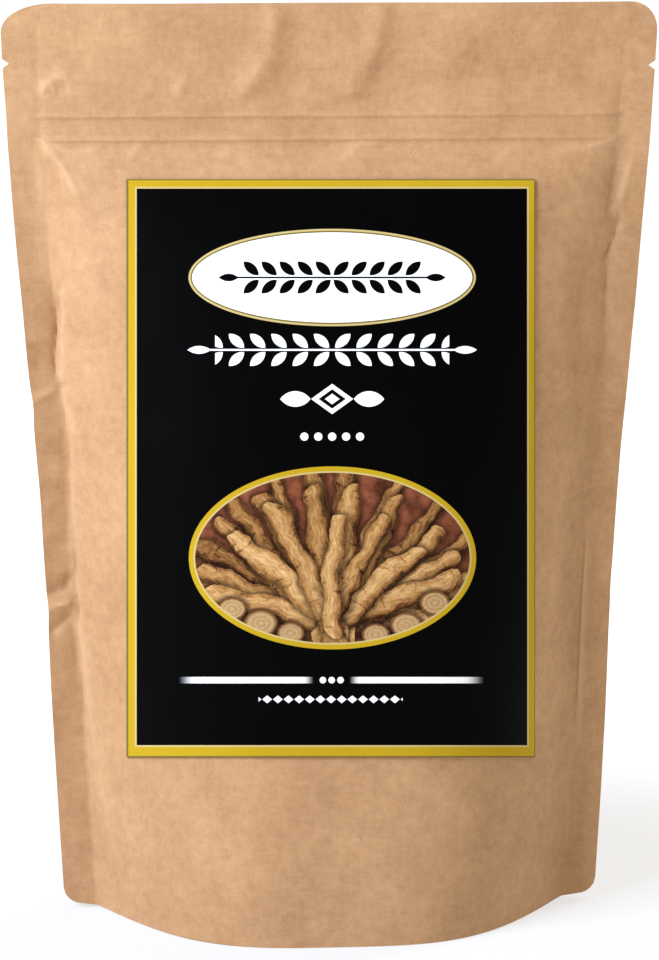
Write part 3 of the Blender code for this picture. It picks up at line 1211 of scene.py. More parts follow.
SEAL_CREASES: tuple[Crease, ...] = (
    # Left seal: upper pinch
    Crease(
        ((-66.8, 158.0), (-67.2, 151.0), (-67.7, 146.6), (-68.2, 141.8), (-67.8, 136.0)),
        -1.05, 1.0, 1.1, 0.18,
    ),
    Crease(((-76.0, 130.6), (-72.5, 132.6), (-69.0, 134.4), (-66.8, 134.8)), 0.55, 0.8, 1.1, 0.20),
    Crease(((-71.6, 147.0), (-70.6, 138.6)), -0.60, 2.8, 2.0),
    # Left seal: lower pinch
    Crease(((-73.4, 81.6), (-69.4, 83.0), (-66.2, 84.4), (-65.3, 88.2)), -1.00, 1.5, 1.3, 0.15),
    Crease(((-73.6, 78.6), (-70.4, 79.2), (-67.6, 79.8), (-64.6, 80.6)), 0.85, 0.8, 1.0, 0.15),
    Crease(((-64.8, 78.2), (-66.6, 76.0), (-69.8, 73.4), (-71.6, 72.6)), -0.85, 1.1, 1.2, 0.2),
    Crease(((-72.4, 104.0), (-69.4, 106.0), (-67.0, 108.4)), 0.25, 1.6, 1.4),
    # Right seal
    Crease(((71.6, 178.0), (70.4, 172.0), (68.8, 168.4), (67.0, 164.6)), -1.20, 0.8, 1.0, 0.22),
    Crease(
        ((68.0, 167.0), (68.3, 153.0), (68.4, 141.0), (67.3, 128.9), (67.0, 112.0)),
        -0.80, 0.9, 1.1, 0.10,
    ),
    Crease(((66.4, 102.0), (65.5, 86.0), (64.9, 64.0)), -0.70, 0.9, 1.1),
    Crease(((74.6, 92.0), (70.6, 87.0), (67.6, 82.0)), 0.35, 1.2, 1.2),
    Crease(((73.4, 152.0), (71.4, 146.0), (69.8, 141.0)), 0.25, 1.4, 1.3),
    # Header
    Crease(((-70.6, 206.4), (-69.4, 209.4), (-67.2, 211.0), (-62.6, 212.0)), 0.60, 0.9, 1.1, 0.2),
    Crease(((-67.0, 208.0), (-63.4, 208.8)), -0.35, 1.6, 2.0),
    Crease(((-71.2, 226.0), (-71.0, 206.0)), -0.16, 1.0, 1.6, 0.1),
    Crease(((-23.6, 203.6), (-19.6, 209.2), (-14.2, 216.4), (-13.0, 230.0)), 1.05, 3.1, 1.6, 0.16),
    Crease(((4.2, 203.6), (6.9, 210.3), (10.2, 216.3), (13.4, 230.0)), 0.95, 3.0, 1.6, 0.16),
    Crease(((-38.4, 206.2), (-36.6, 209.0), (-35.2, 212.6)), 0.55, 1.3, 1.3),
    Crease(((-12.0, 206.4), (-6.0, 210.0)), -0.35, 3.6, 2.0),
    Crease(((31.0, 206.0), (36.0, 213.0), (37.0, 223.0)), -0.40, 4.4, 2.0),
    Crease(((52.0, 226.0), (56.0, 216.0), (57.0, 207.0)), 0.35, 4.0, 2.0),
)

BACK_STRETCH = 0.985
FRONT_CREASES: tuple[Crease, ...] = (
    # Left seal: the edge of the bag from the zip to the base
    Crease(((-70.4, 193.0), (-69.4, 172.4), (-67.5, 158.0)), 0.30, 0.9, 1.0, 0.20),
    Crease(
        ((-64.6, 130.0), (-64.0, 118.0), (-64.0, 107.4), (-64.2, 96.7), (-63.8, 89.8)),
        0.45, 0.8, 1.0, 0.08,
    ),
    Crease(((-66.4, 128.0), (-65.8, 118.0), (-65.5, 105.3), (-65.6, 92.0)), -0.35, 0.9, 1.3, 0.20),
    Crease(
        ((-65.6, 161.0), (-65.2, 154.1), (-66.0, 149.1), (-65.9, 140.5), (-66.4, 135.1)),
        0.80, 0.8, 1.0, 0.10,
    ),
    Crease(((-66.6, 136.2), (-65.6, 130.8), (-64.0, 127.2), (-62.6, 122.0)), 0.60, 0.8, 1.0, 0.15),
    Crease(((-63.4, 143.0), (-62.4, 136.0), (-60.6, 130.0)), -0.35, 1.6, 1.5),
    Crease(
        ((-64.2, 92.0), (-63.7, 88.4), (-63.0, 85.2), (-62.6, 81.8), (-62.9, 78.6)),
        0.55, 0.7, 1.0, 0.2,
    ),
    Crease(
        ((-64.0, 79.8), (-63.2, 75.5), (-62.3, 70.6), (-61.8, 65.7), (-61.0, 58.5), (-60.4, 50.0)),
        0.75, 0.8, 1.0, 0.22,
    ),
    Crease(((-65.0, 77.0), (-64.2, 70.0), (-63.4, 60.0)), -0.45, 0.9, 1.2),
    Crease(((-62.2, 78.4), (-58.9, 75.4), (-58.2, 71.3), (-59.7, 63.9)), -0.40, 1.1, 1.2),
    # Left side of the base seal
    Crease(((-61.2, 58.0), (-59.9, 45.0), (-58.8, 36.6)), 0.45, 0.9, 1.0, 0.2),
    Crease(((-59.4, 40.0), (-57.5, 29.8), (-55.7, 20.5), (-53.0, 11.0)), 0.38, 1.5, 1.1),
    # Folds that fan out from the left end of the zip
    Crease(
        ((-71.4, 197.0), (-67.9, 193.0), (-65.5, 190.0), (-63.1, 185.9), (-60.5, 180.5)),
        0.85, 0.9, 1.0, 0.22,
    ),
    Crease(((-69.4, 192.4), (-66.9, 188.4), (-64.9, 183.4)), -0.55, 1.2, 1.4),
    Crease(((-71.4, 196.4), (-67.1, 194.0), (-62.3, 192.9), (-55.0, 193.8)), 0.50, 0.8, 1.0, 0.22),
    Crease(((-67.2, 192.4), (-63.6, 191.2), (-59.6, 190.2)), -0.45, 1.0, 1.4),
    Crease(((-71.2, 195.4), (-70.6, 188.0), (-70.0, 178.0)), 0.32, 0.9, 1.1, 0.30),
    # Under the zip
    Crease(((-49.4, 191.8), (-46.2, 195.0)), 0.45, 0.8, 1.1),
    Crease(((3.6, 190.6), (6.4, 194.4), (13.0, 194.4)), 0.42, 0.9, 1.1),
    Crease(((-26.4, 190.6), (-24.2, 194.6)), 0.30, 1.0, 1.3),
    Crease(((40.6, 189.8), (43.0, 193.0), (48.4, 194.4)), 0.35, 1.0, 1.2),
    Crease(((-8.0, 193.4), (-16.0, 192.6)), -0.25, 1.2, 1.5),
    # Right end of the zip
    Crease(((73.6, 196.6), (72.2, 190.5), (70.2, 184.0), (67.9, 176.0)), -0.95, 1.1, 1.1, 0.25),
    Crease(((74.2, 191.0), (72.6, 184.0), (71.2, 178.0)), 0.40, 1.1, 1.2),
    Crease(((73.6, 196.4), (63.0, 193.4), (52.0, 192.8)), 0.42, 0.9, 1.0, 0.25),
    # Right edge of the bag
    Crease(((62.6, 164.0), (61.6, 152.0), (61.4, 138.0), (61.8, 122.0)), -0.75, 2.2, 1.6),
    Crease(((64.2, 104.0), (64.3, 91.0), (63.8, 76.8), (63.2, 55.4), (62.9, 36.0)), 0.75, 0.6, 1.0, 0.22),
    Crease(((62.7, 97.0), (62.4, 79.0), (61.6, 50.0)), -0.55, 1.0, 1.2),
    Crease(((56.6, 96.0), (59.0, 86.0), (59.4, 74.0)), -0.28, 3.2, 2.0),
    Crease(((62.4, 46.0), (60.4, 33.0), (57.6, 22.0), (53.6, 11.0)), 0.25, 1.4, 1.1),
)


@dataclass(frozen=True)
class PanelRelief:
    """What folds, dents and the zip add to one panel's bare surface."""

    form: PouchForm
    face: Face
    creases: tuple[Crease, ...]
    shared: tuple[Crease, ...] = SEAL_CREASES
    ridge_heights: tuple[float, float] = (196.0, 201.7)
    ridge_rise: float = 0.36
    ridge_half: float = 0.55
    ridge_end: float = 72.0
    zip_height: float = 198.8
    zip_calm: Place = (4.5, 9.0)
    foot_calm: Place = (2.0, 14.0)
    side_end: float = 73.0
    top_end: float = 222.0
    calm_reach: float = 12.0
    wave_seeds: tuple[int, int] = (3, 9)
    wave_cells: tuple[Place, ...] = ((26.0, 34.0), (11.0, 15.0), (5.0, 6.5))
    wave_rises: tuple[float, ...] = (0.34, 0.136, 0.055)
    column_pitch: float = 40.0
    header_zone: Place = (205.0, 220.0)
    header_wave: float = 0.5
    header_cell: Place = (34.0, 26.0)
    header_seed: int = 21
    side_zone: Place = (0.92, 1.5)
    side_wave: float = 0.45
    side_cell: Place = (90.0, 17.0)
    side_seed: int = 22
    body_foot: Place = (22.0, 60.0)
    body_top: float = 196.0
    body_fade: float = 26.0
    curl_start: float = 0.98
    curl_span: float = 1.02
    lean_zone: Place = (203.0, 230.0)
    turn_zone: Place = (203.0, 220.0)
    turn_start: float = 24.0
    turn_span: float = 56.0
    turn_power: float = 1.5
    fold_calm: Place = (4.8, 9.0)
    worn_width: float = 2.0
    worn_height: float = 0.55
    seal_curls: tuple[Place, Place] = ((1.25, 1.3), (-1.0, 1.0))
    header_lean: float = 1.5
    header_turns: tuple[float, float] = (2.0, 1.0)
    swell_places: tuple[float, float] = (-45.0, 37.0)
    swell_width: float = 17.0
    swell_rise: float = 1.3
    side_press: Place = (1.03, 1.14)
    top_press: Place = (221.2, 222.6)
    shoulder_rise: float = 0.85
    shoulder_fall: float = 7.0
    shoulder_line: Place = (50.5, 0.10)
    shoulder_full: float = 50.0
    shoulder_foot: Place = (45.0, 85.0)
    shoulder_top: float = 178.0
    shoulder_fade: float = 34.0

    def rise(self, x: Array, z: Array) -> Array:
        """Return the height over the bare surface.

        Args:
            x: Places across, in metres.
            z: Places up, in metres.

        Returns:
            The height outward, in metres.
        """
        x = x / MM
        z = z / MM
        total = np.zeros(x.shape)
        end = smooth_step(self.ridge_end - np.abs(x), 0.0, 2.0)
        for height in self.ridge_heights:
            total += self.ridge_rise * end * np.exp(-(((z - height) / self.ridge_half) ** 2))
        for crease in self.creases:
            total += crease.height(x, z)
        front_seed, back_seed = self.wave_seeds
        seed = back_seed
        if self.face is Face.FRONT:
            total += self._shoulder(x, z)
            seed = front_seed
        calm = smooth_step(np.abs(z - self.zip_height), *self.zip_calm) * smooth_step(z, *self.foot_calm)
        calm = calm * smooth_step(self.side_end - np.abs(x), 0.0, self.calm_reach)
        calm = calm * smooth_step(self.top_end - z, 0.0, self.calm_reach)
        for layer, (cell, height) in enumerate(zip(self.wave_cells, self.wave_rises)):
            total += height * calm * SoftNoise(seed + layer, cell).at(x, z)
        return total * MM

    def _shoulder(self, x: Array, z: Array) -> Array:
        """Return the fuller right side of the body, which falls off at the seal.

        Args:
            x: Places across, in millimetres.
            z: Places up, in millimetres.

        Returns:
            The height, in millimetres.
        """
        start, slant = self.shoulder_line
        fall = smooth_step(start + slant * z - x, 0.0, self.shoulder_fall)
        high = smooth_step(z, *self.shoulder_foot)
        high = high * smooth_step(self.shoulder_top - z, 0.0, self.shoulder_fade)
        return self.shoulder_rise * smooth_step(x, 0.0, self.shoulder_full) * fall * high

    def wear(self, x: Array, z: Array) -> Array:
        """Return how worn the paper is there, from 0 to 1.

        Args:
            x: Places across, in metres.
            z: Places up, in metres.

        Returns:
            The wear.
        """
        worn = np.zeros(x.shape)
        for crease in self.creases + self.shared:
            if crease.rise > 0.0 and crease.width < self.worn_width:
                worn += np.maximum(crease.height(x / MM, z / MM), 0.0)
        return np.clip(worn / self.worn_height, 0.0, 1.0)

    def sway(self, column: Array, x: Array, z: Array) -> Array:
        """Return how far both panels bend together, as a shift of y.

        Args:
            column: Share of the bag's half width, and from 1 to 2 of the seal.
            x: Places across, in metres.
            z: Places up, in metres.

        Returns:
            The shift, in metres.
        """
        up = z / MM
        across = column * self.column_pitch
        place = x / MM
        header = SoftNoise(self.header_seed, self.header_cell).at(across, up) * self.header_wave
        for middle in self.swell_places:
            header = header - self.swell_rise * np.exp(-(((place - middle) / self.swell_width) ** 2))
        header = header * smooth_step(up, *self.header_zone)
        high = smooth_step(up, *self.body_foot) * smooth_step(self.body_top - up, 0.0, self.body_fade)
        side = smooth_step(np.abs(column), *self.side_zone) * high
        side = side * SoftNoise(self.side_seed, self.side_cell).at(across, up) * self.side_wave
        outer = np.clip(np.abs(column) - self.curl_start, 0.0, self.curl_span)
        left, right = (rise * outer**power for rise, power in self.seal_curls)
        curl = np.where(column < 0.0, left, right) * high
        lean = smooth_step(up, *self.lean_zone) * self.header_lean
        turn = np.where(place < 0.0, *self.header_turns) * smooth_step(up, *self.turn_zone)
        turn = turn * np.clip((np.abs(place) - self.turn_start) / self.turn_span, 0.0, 1.0) ** self.turn_power
        folds = np.zeros(x.shape)
        for crease in self.shared:
            folds += crease.height(place, up)
        folds = folds * smooth_step(np.abs(up - self.zip_height), *self.fold_calm)
        return (header + side + turn - curl - lean - folds) * MM

    def press(self, column: Array, z: Array) -> Array:
        """Return where the two panels are sealed together, from 0 to 1."""
        sides = smooth_step(np.abs(column), *self.side_press)
        return np.maximum(sides, smooth_step(z / MM, *self.top_press))


# Meshes


class SheetMesh:
    """Makes closed sheets from two grids of points."""

    @staticmethod
    def _quads(rows: int, columns: int) -> Array:
        """Return the quads of a grid of points.

        Args:
            rows: The grid's rows.
            columns: Its columns.

        Returns:
            Four points' numbers for each quad.
        """
        r, c = np.meshgrid(np.arange(rows - 1), np.arange(columns - 1), indexing="ij")
        first = (r * columns + c).ravel()
        return np.stack([first, first + 1, first + columns + 1, first + columns], axis=1)

    @classmethod
    def build(cls, name: str, outer: Array, inner: Array, sharp: float = 45.0) -> bpy.types.Object:
        """Join an outer and an inner grid into one closed sheet.

        Args:
            name: The piece's name.
            outer: Points of the outer face, rows by columns by 3.
            inner: Points of the inner face, the same size.
            sharp: The angle above which an edge is sharp, in degrees.

        Returns:
            The new piece.
        """
        rows, columns = outer.shape[:2]
        count = rows * columns
        points = np.concatenate([outer.reshape(-1, 3), inner.reshape(-1, 3)])
        front = cls._quads(rows, columns)
        back = front[:, ::-1] + count
        bottom = np.arange(columns)
        top = (rows - 1) * columns + bottom
        left = np.arange(rows) * columns
        right = left + columns - 1
        rims = [cls._rim(line, count) for line in (bottom, right, top[::-1], left[::-1])]
        faces = np.concatenate([front, back, *rims])
        if cls._volume(points, faces) < 0.0:
            faces = faces[:, ::-1]
        return cls.make(name, points, faces.tolist(), sharp)

    @staticmethod
    def _rim(line: Array, count: int) -> Array:
        """Return the quads between an edge line and its twin on the inner face."""
        start, stop = line[:-1], line[1:]
        return np.stack([stop, start, start + count, stop + count], axis=1)

    @staticmethod
    def _volume(points: Array, faces: Array) -> float:
        """Return six times the volume that the faces enclose.

        Args:
            points: The points.
            faces: The quads.

        Returns:
            The volume, below zero where the faces look inward.
        """
        a, b, c, d = (points[faces[:, i]] for i in range(4))
        first = np.einsum("ij,ij->i", a, np.cross(b, c))
        second = np.einsum("ij,ij->i", a, np.cross(c, d))
        return float((first + second).sum())

    @staticmethod
    def make(
        name: str, points: Array, faces: Sequence[Sequence[int]], sharp: float = 45.0
    ) -> bpy.types.Object:
        """Turn points and faces into a smooth shaded piece.

        Args:
            name: The piece's name.
            points: The points.
            faces: The faces.
            sharp: The angle above which an edge is sharp, in degrees.

        Returns:
            The new piece.
        """
        mesh = bpy.data.meshes.new(name)
        mesh.from_pydata(points.tolist(), [], faces)
        mesh.validate()
        mesh.shade_smooth()
        mesh.set_sharp_from_angle(angle=math.radians(sharp))
        piece = bpy.data.objects.new(name, mesh)
        bpy.context.scene.collection.objects.link(piece)
        return piece

    @staticmethod
    def store(piece: bpy.types.Object, name: str, values: Array) -> None:
        """Store one number on each point of a piece."""
        layer = piece.data.attributes.new(name, "FLOAT", "POINT")
        layer.data.foreach_set("value", values.astype(np.float32))

    @staticmethod
    def lay_plan(piece: bpy.types.Object, name: str, plan: Array) -> None:
        """Give a piece a map from one pair of numbers for each point.

        Args:
            piece: The piece.
            name: The map's name.
            plan: The pairs.
        """
        mesh = piece.data
        layer = mesh.uv_layers.new(name=name)
        corners = np.zeros(len(mesh.loops), dtype=np.int32)
        mesh.loops.foreach_get("vertex_index", corners)
        layer.data.foreach_set("uv", plan[corners].astype(np.float32).ravel())


def dress(piece: bpy.types.Object, material: bpy.types.Material, nodes: Sequence[str]) -> None:
    """Give a piece its material, its body and what it stands for.

    Args:
        piece: The piece.
        material: Its material.
        nodes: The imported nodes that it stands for.
    """
    piece.data.materials.clear()
    piece.data.materials.append(material)
    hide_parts(*nodes)
    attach(piece, BODY)
    LOG.info("%s: %d faces", piece.name, len(piece.data.polygons))


def spaced(start: float, stop: float, step: float) -> list[float]:
    """Return evenly spaced numbers from start up to just short of stop."""
    count = max(1, round((stop - start) / step))
    return [start + (stop - start) * i / count for i in range(count)]


# Sub-assemblies


@dataclass
class PaperPanel:
    """The front or the back panel of the pouch."""

    form: PouchForm
    relief: PanelRelief
    name: str
    row_zones: tuple[tuple[float, float], ...] = (
        (0.0045, 0.0019),
        (0.0600, 0.0009),
        (0.0950, 0.0015),
        (0.1220, 0.0009),
        (0.1660, 0.0011),
        (0.1840, 0.0009),
        (0.1935, 0.00028),
        (0.2040, 0.0011),
    )
    seal_columns: int = 12
    edge_columns: int = 26
    middle_columns: int = 96
    edge_share: float = 0.83
    corner_rows: int = 10
    foot_rows: tuple[float, ...] = (0.0, 0.0002, 0.0007, 0.0015, 0.0028)
    notch_step: float = 0.00028
    rim_fade: Place = (3.0, 2.0)
    seal_slit: float = 0.00001
    left_kinks: tuple[tuple[float, float, float], ...] = ((130.6, 4.0, 0.34), (78.6, 3.4, 0.30))
    right_kinks: tuple[tuple[float, float, float], ...] = ((84.0, 6.0, 0.25),)
    ripple: float = 0.10
    ripple_seed: int = 31
    ripple_cell: Place = (200.0, 12.0)
    ripple_places: float = 500.0
    ripple_foot: Place = (12.0, 30.0)
    ripple_top: float = 208.0
    ripple_fade: float = 10.0

    def rows(self) -> Array:
        """Return the heights of the panel's rows, closer where it is busy.

        Returns:
            The heights, in metres.
        """
        form = self.form
        corner = form.height - form.corner_height
        low = min(form.notch_left, form.notch_right) - form.notch_half
        high = max(form.notch_left, form.notch_right) + form.notch_half
        heights = list(self.foot_rows)
        stops = [start for start, _ in self.row_zones[1:]] + [low]
        for (start, step), stop in zip(self.row_zones, stops):
            heights += spaced(start, stop, step)
        heights += spaced(low, high, self.notch_step)
        heights += spaced(high, corner, self.row_zones[-1][1])
        angles = np.linspace(0.0, 0.5 * np.pi, self.corner_rows)
        heights += list(corner + form.corner_height * np.sin(angles))
        return np.array(heights)

    def columns(self) -> Array:
        """Return the panel's columns, closer towards the seals.

        Returns:
            Shares of the bag's half width, and from 1 to 2 of the seal.
        """
        middle = np.linspace(-self.edge_share, self.edge_share, self.middle_columns + 1)
        edge = np.linspace(self.edge_share, 1.0, self.edge_columns + 1)[1:]
        seal = np.linspace(1.0, 2.0, self.seal_columns + 1)[1:]
        return np.concatenate([-seal[::-1], -edge[::-1], middle, edge, seal])

    def edge_wave(self, column: Array, z: Array) -> Array:
        """Return how far small kinks pull the seal's outline in.

        Args:
            column: Share of the bag's half width, and from 1 to 2 of the seal.
            z: Heights.

        Returns:
            The pull, in metres.
        """
        up = z / MM
        share = smooth_step(np.abs(column), 1.0, 2.0)
        left, right = (
            sum(depth * np.exp(-(((up - middle) / half) ** 2)) for middle, half, depth in kinks)
            for kinks in (self.left_kinks, self.right_kinks)
        )
        ripple = SoftNoise(self.ripple_seed, self.ripple_cell).at(np.sign(column) * self.ripple_places, up)
        pull = np.where(column < 0, left, right) + self.ripple * ripple
        calm = smooth_step(up, *self.ripple_foot)
        calm = calm * smooth_step(self.ripple_top - up, 0.0, self.ripple_fade)
        return pull * share * calm * MM

    def build(self, material: bpy.types.Material) -> bpy.types.Object:
        """Make the panel.

        Args:
            material: The paper.

        Returns:
            The panel.
        """
        z, column = np.meshgrid(self.rows(), self.columns(), indexing="ij")
        point = self.form.point(column, z)
        normal = self.form.normal(column, z)
        x = point[..., 0]
        rise = self.relief.rise(x, z)
        foot, top = self.rim_fade
        fade = smooth_step(z / MM, 0.0, foot) * smooth_step(self.form.height / MM - z / MM, 0.0, top)
        outer = point + normal * (rise * fade)[..., None]
        inner = outer - normal * self.form.sheet
        shift = self.relief.sway(column, x, z)
        pull = self.edge_wave(column, z) * -np.sign(column)
        facing = self.relief.face.value
        least = 0.5 * self.form.gap
        outside = np.minimum(outer[..., 1], -(least + 0.5 * self.form.sheet))
        inside = np.minimum(inner[..., 1], -least)
        press = self.relief.press(column, z)
        inside = inside * (1.0 - press) - self.seal_slit * press
        for grid, depth in ((outer, outside), (inner, inside)):
            grid[..., 0] += pull
            grid[..., 1] = shift - facing * depth
        piece = SheetMesh.build(self.name, outer, inner)
        wear = self.relief.wear(x, z).ravel()
        SheetMesh.store(piece, "wear", np.concatenate([wear, wear]))
        dress(piece, material, [self.name.replace("_skin", "")])
        return piece


@dataclass
class BaseGusset:
    """The sheet that folds up between the panels and makes the base."""

    form: PouchForm
    depth: float = 0.040
    seal_rise: float = 0.004
    foot: float = 0.0005
    reach: float = 0.97
    fold_radius: float = 0.0009
    columns: int = 110
    flange_steps: int = 10
    slope_steps: int = 14
    sag: float = 0.0007
    sag_reach: float = 0.01
    least_step: float = 0.00008
    least_top: float = 0.0003
    tightest: float = 0.62
    sharp: float = 50.0
    worn_half: float = 0.0012
    worn_share: float = 0.6

    def section(self, share: Array) -> Array:
        """Return the gusset's upper face.

        Args:
            share: Shares of the bag's half width, one for each column.

        Returns:
            Depth and height of each point, columns by points by 2.
        """
        size = np.abs(share)
        seal = self.seal_rise + (self.depth - self.seal_rise) * size**4
        rim = self.form.room(size, seal)
        fold = seal + np.sqrt(np.maximum((self.depth - seal) ** 2 - rim**2, 0.0))
        depths = []
        heights = []
        for t in np.linspace(0.0, 1.0, self.flange_steps + 1):
            z = self.foot + (seal - self.foot) * t
            depths.append(-self.form.room(size, z))
            heights.append(z)
        for step, t in enumerate(np.linspace(0.0, 1.0, self.slope_steps + 1)[1:], start=1):
            sag = self.sag * math.sin(math.pi * t) * np.clip((fold - seal) / self.sag_reach, 0.0, 1.0)
            z = seal + (fold - self.fold_radius - seal) * t - sag
            depths.append(-rim + (rim - self.fold_radius) * t)
            heights.append(np.maximum(z, seal + self.least_step * step))
        half = np.stack([np.array(depths), np.array(heights)], axis=-1)
        middle = half[-1].copy()
        middle[:, 0] = 0.0
        middle[:, 1] = np.maximum(fold, half[-1][:, 1] + self.least_top)
        other = half[::-1].copy()
        other[..., 0] *= -1.0
        return np.concatenate([half, middle[None], other]).transpose(1, 0, 2)

    def build(self, material: bpy.types.Material) -> bpy.types.Object:
        """Make the gusset.

        Args:
            material: The paper.

        Returns:
            The gusset.
        """
        share = self.reach * np.sin(np.linspace(-0.5 * np.pi, 0.5 * np.pi, self.columns + 1))
        upper = self.section(share)
        lower = self._offset(upper, self.form.sheet)
        x = self.form.point(share[:, None], upper[..., 1])[..., 0]
        top = np.stack([x, upper[..., 0], upper[..., 1]], axis=-1)
        under = np.stack([x, lower[..., 0], lower[..., 1]], axis=-1)
        piece = SheetMesh.build("bottom_gusset_skin", top, under, self.sharp)
        worn = np.exp(-((np.abs(upper[..., 0]) / self.worn_half) ** 2)).ravel() * self.worn_share
        SheetMesh.store(piece, "wear", np.concatenate([worn, worn]))
        dress(piece, material, ["bottom_gusset"])
        return piece

    def _offset(self, section: Array, distance: float) -> Array:
        """Return sections moved square to themselves, to the lower side.

        Args:
            section: Depth and height of each point.
            distance: How far they move.

        Returns:
            The moved sections.
        """
        step = np.diff(section, axis=1)
        step = step / np.maximum(np.linalg.norm(step, axis=-1, keepdims=True), TINY)
        first = np.concatenate([step[:, :1], step], axis=1)
        second = np.concatenate([step, step[:, -1:]], axis=1)
        along = first + second
        along = along / np.maximum(np.linalg.norm(along, axis=-1, keepdims=True), TINY)
        facing = np.maximum(np.einsum("ijk,ijk->ij", along, first), self.tightest)
        stretch = (distance / facing)[..., None]
        return section + np.stack([along[..., 1], -along[..., 0]], axis=-1) * stretch


@dataclass
class SightLine:
    """The point in front of the pouch that its label is squared up from."""

    distance: float = 0.800
    height: float = 0.280
    turn: float = math.radians(-3.5)
    pitch: float = math.radians(11.96)

    def axes(self) -> tuple[Array, Array, Array, Array]:
        """Return the point, the line of sight, and right and up across it.

        Returns:
            The four vectors.
        """
        sin, cos = math.sin(self.turn), math.cos(self.turn)
        eye = np.array([self.distance * sin, -self.distance * cos, self.height])
        right = np.array([cos, sin, 0.0])
        level = np.array([-sin, cos, 0.0])
        line = level * math.cos(self.pitch) - np.array([0.0, 0.0, math.sin(self.pitch)])
        return eye, line, right, np.cross(right, line)


@dataclass
class FrontLabel:
    """The label on the front panel, laid to look square from its sight point."""

    form: PouchForm
    relief: PanelRelief
    sight: SightLine = field(default_factory=SightLine)
    width: float = 0.0998
    height: float = 0.1412
    rise: float = 0.0029
    gap: float = 0.00035
    thickness: float = 0.0003
    columns: int = 120
    rows: int = 170
    steps: int = 28
    close_steps: int = 4
    pace: float = 0.8
    first_half: float = 0.066
    column_size: float = 0.07
    first_height: float = 0.11
    margin: float = 0.001

    def build(self, print_finish: LabelPrint) -> bpy.types.Object:
        """Make the label.

        Args:
            print_finish: What is printed on it.

        Returns:
            The label.
        """
        across = np.linspace(-0.5, 0.5, self.columns + 1) * self.width
        up = np.linspace(-0.5, 0.5, self.rows + 1) * self.height + self.rise
        up_grid, across_grid = np.meshgrid(up, across, indexing="ij")
        outer = self._lay(across_grid, up_grid, self.gap + self.thickness)
        inner = self._lay(across_grid, up_grid, self.gap)
        piece = SheetMesh.build("label_print_sheet", outer, inner)
        plan = np.stack([across_grid.ravel(), up_grid.ravel()], axis=-1) / MM
        SheetMesh.lay_plan(piece, print_finish.plan_name, np.concatenate([plan, plan]))
        dress(piece, print_finish.material(), ["label"])
        return piece

    def _lay(self, across: Array, up: Array, lift: float) -> Array:
        """Return points this far off the panel, on their lines of sight.

        Args:
            across: Places across the label, as seen from the sight point.
            up: Places up the label, seen the same way.
            lift: The distance from the panel's paper.

        Returns:
            The points.
        """
        eye, line, right, above = self.sight.axes()
        column = across / self.first_half
        z = self.first_height + up
        top = self.form.height - self.margin
        point = np.zeros((*across.shape, 3))
        for step in range(self.steps):
            point = self.form.point(column, z)
            if step < self.steps - self.close_steps:
                point[..., 1] -= lift
            else:
                rise = self.relief.rise(point[..., 0], z)
                point = point + self.form.normal(column, z) * (lift + rise)[..., None]
            ray = point - eye
            scale = self.sight.distance / (ray @ line)
            column = column + self.pace * (across - (ray @ right) * scale) / self.column_size
            z = np.clip(z + self.pace * (up - (ray @ above) * scale), self.margin, top)
        return point


@dataclass
class PressZip:
    """The two strips of the zip, as packed."""

    nodes: tuple[str, str] = ("zip_rib_strip", "zip_groove_strip")

    def dress(self, frame: Mapping[str, Any], material: bpy.types.Material) -> None:
        """Give both strips their plastic.

        Args:
            frame: The loaded frame.
            material: The plastic.
        """
        for name in self.nodes:
            strip = frame["nodes"][name]
            for slot in strip.material_slots:
                slot.material = material
            LOG.info("%s: %d slot dressed", name, len(strip.material_slots))


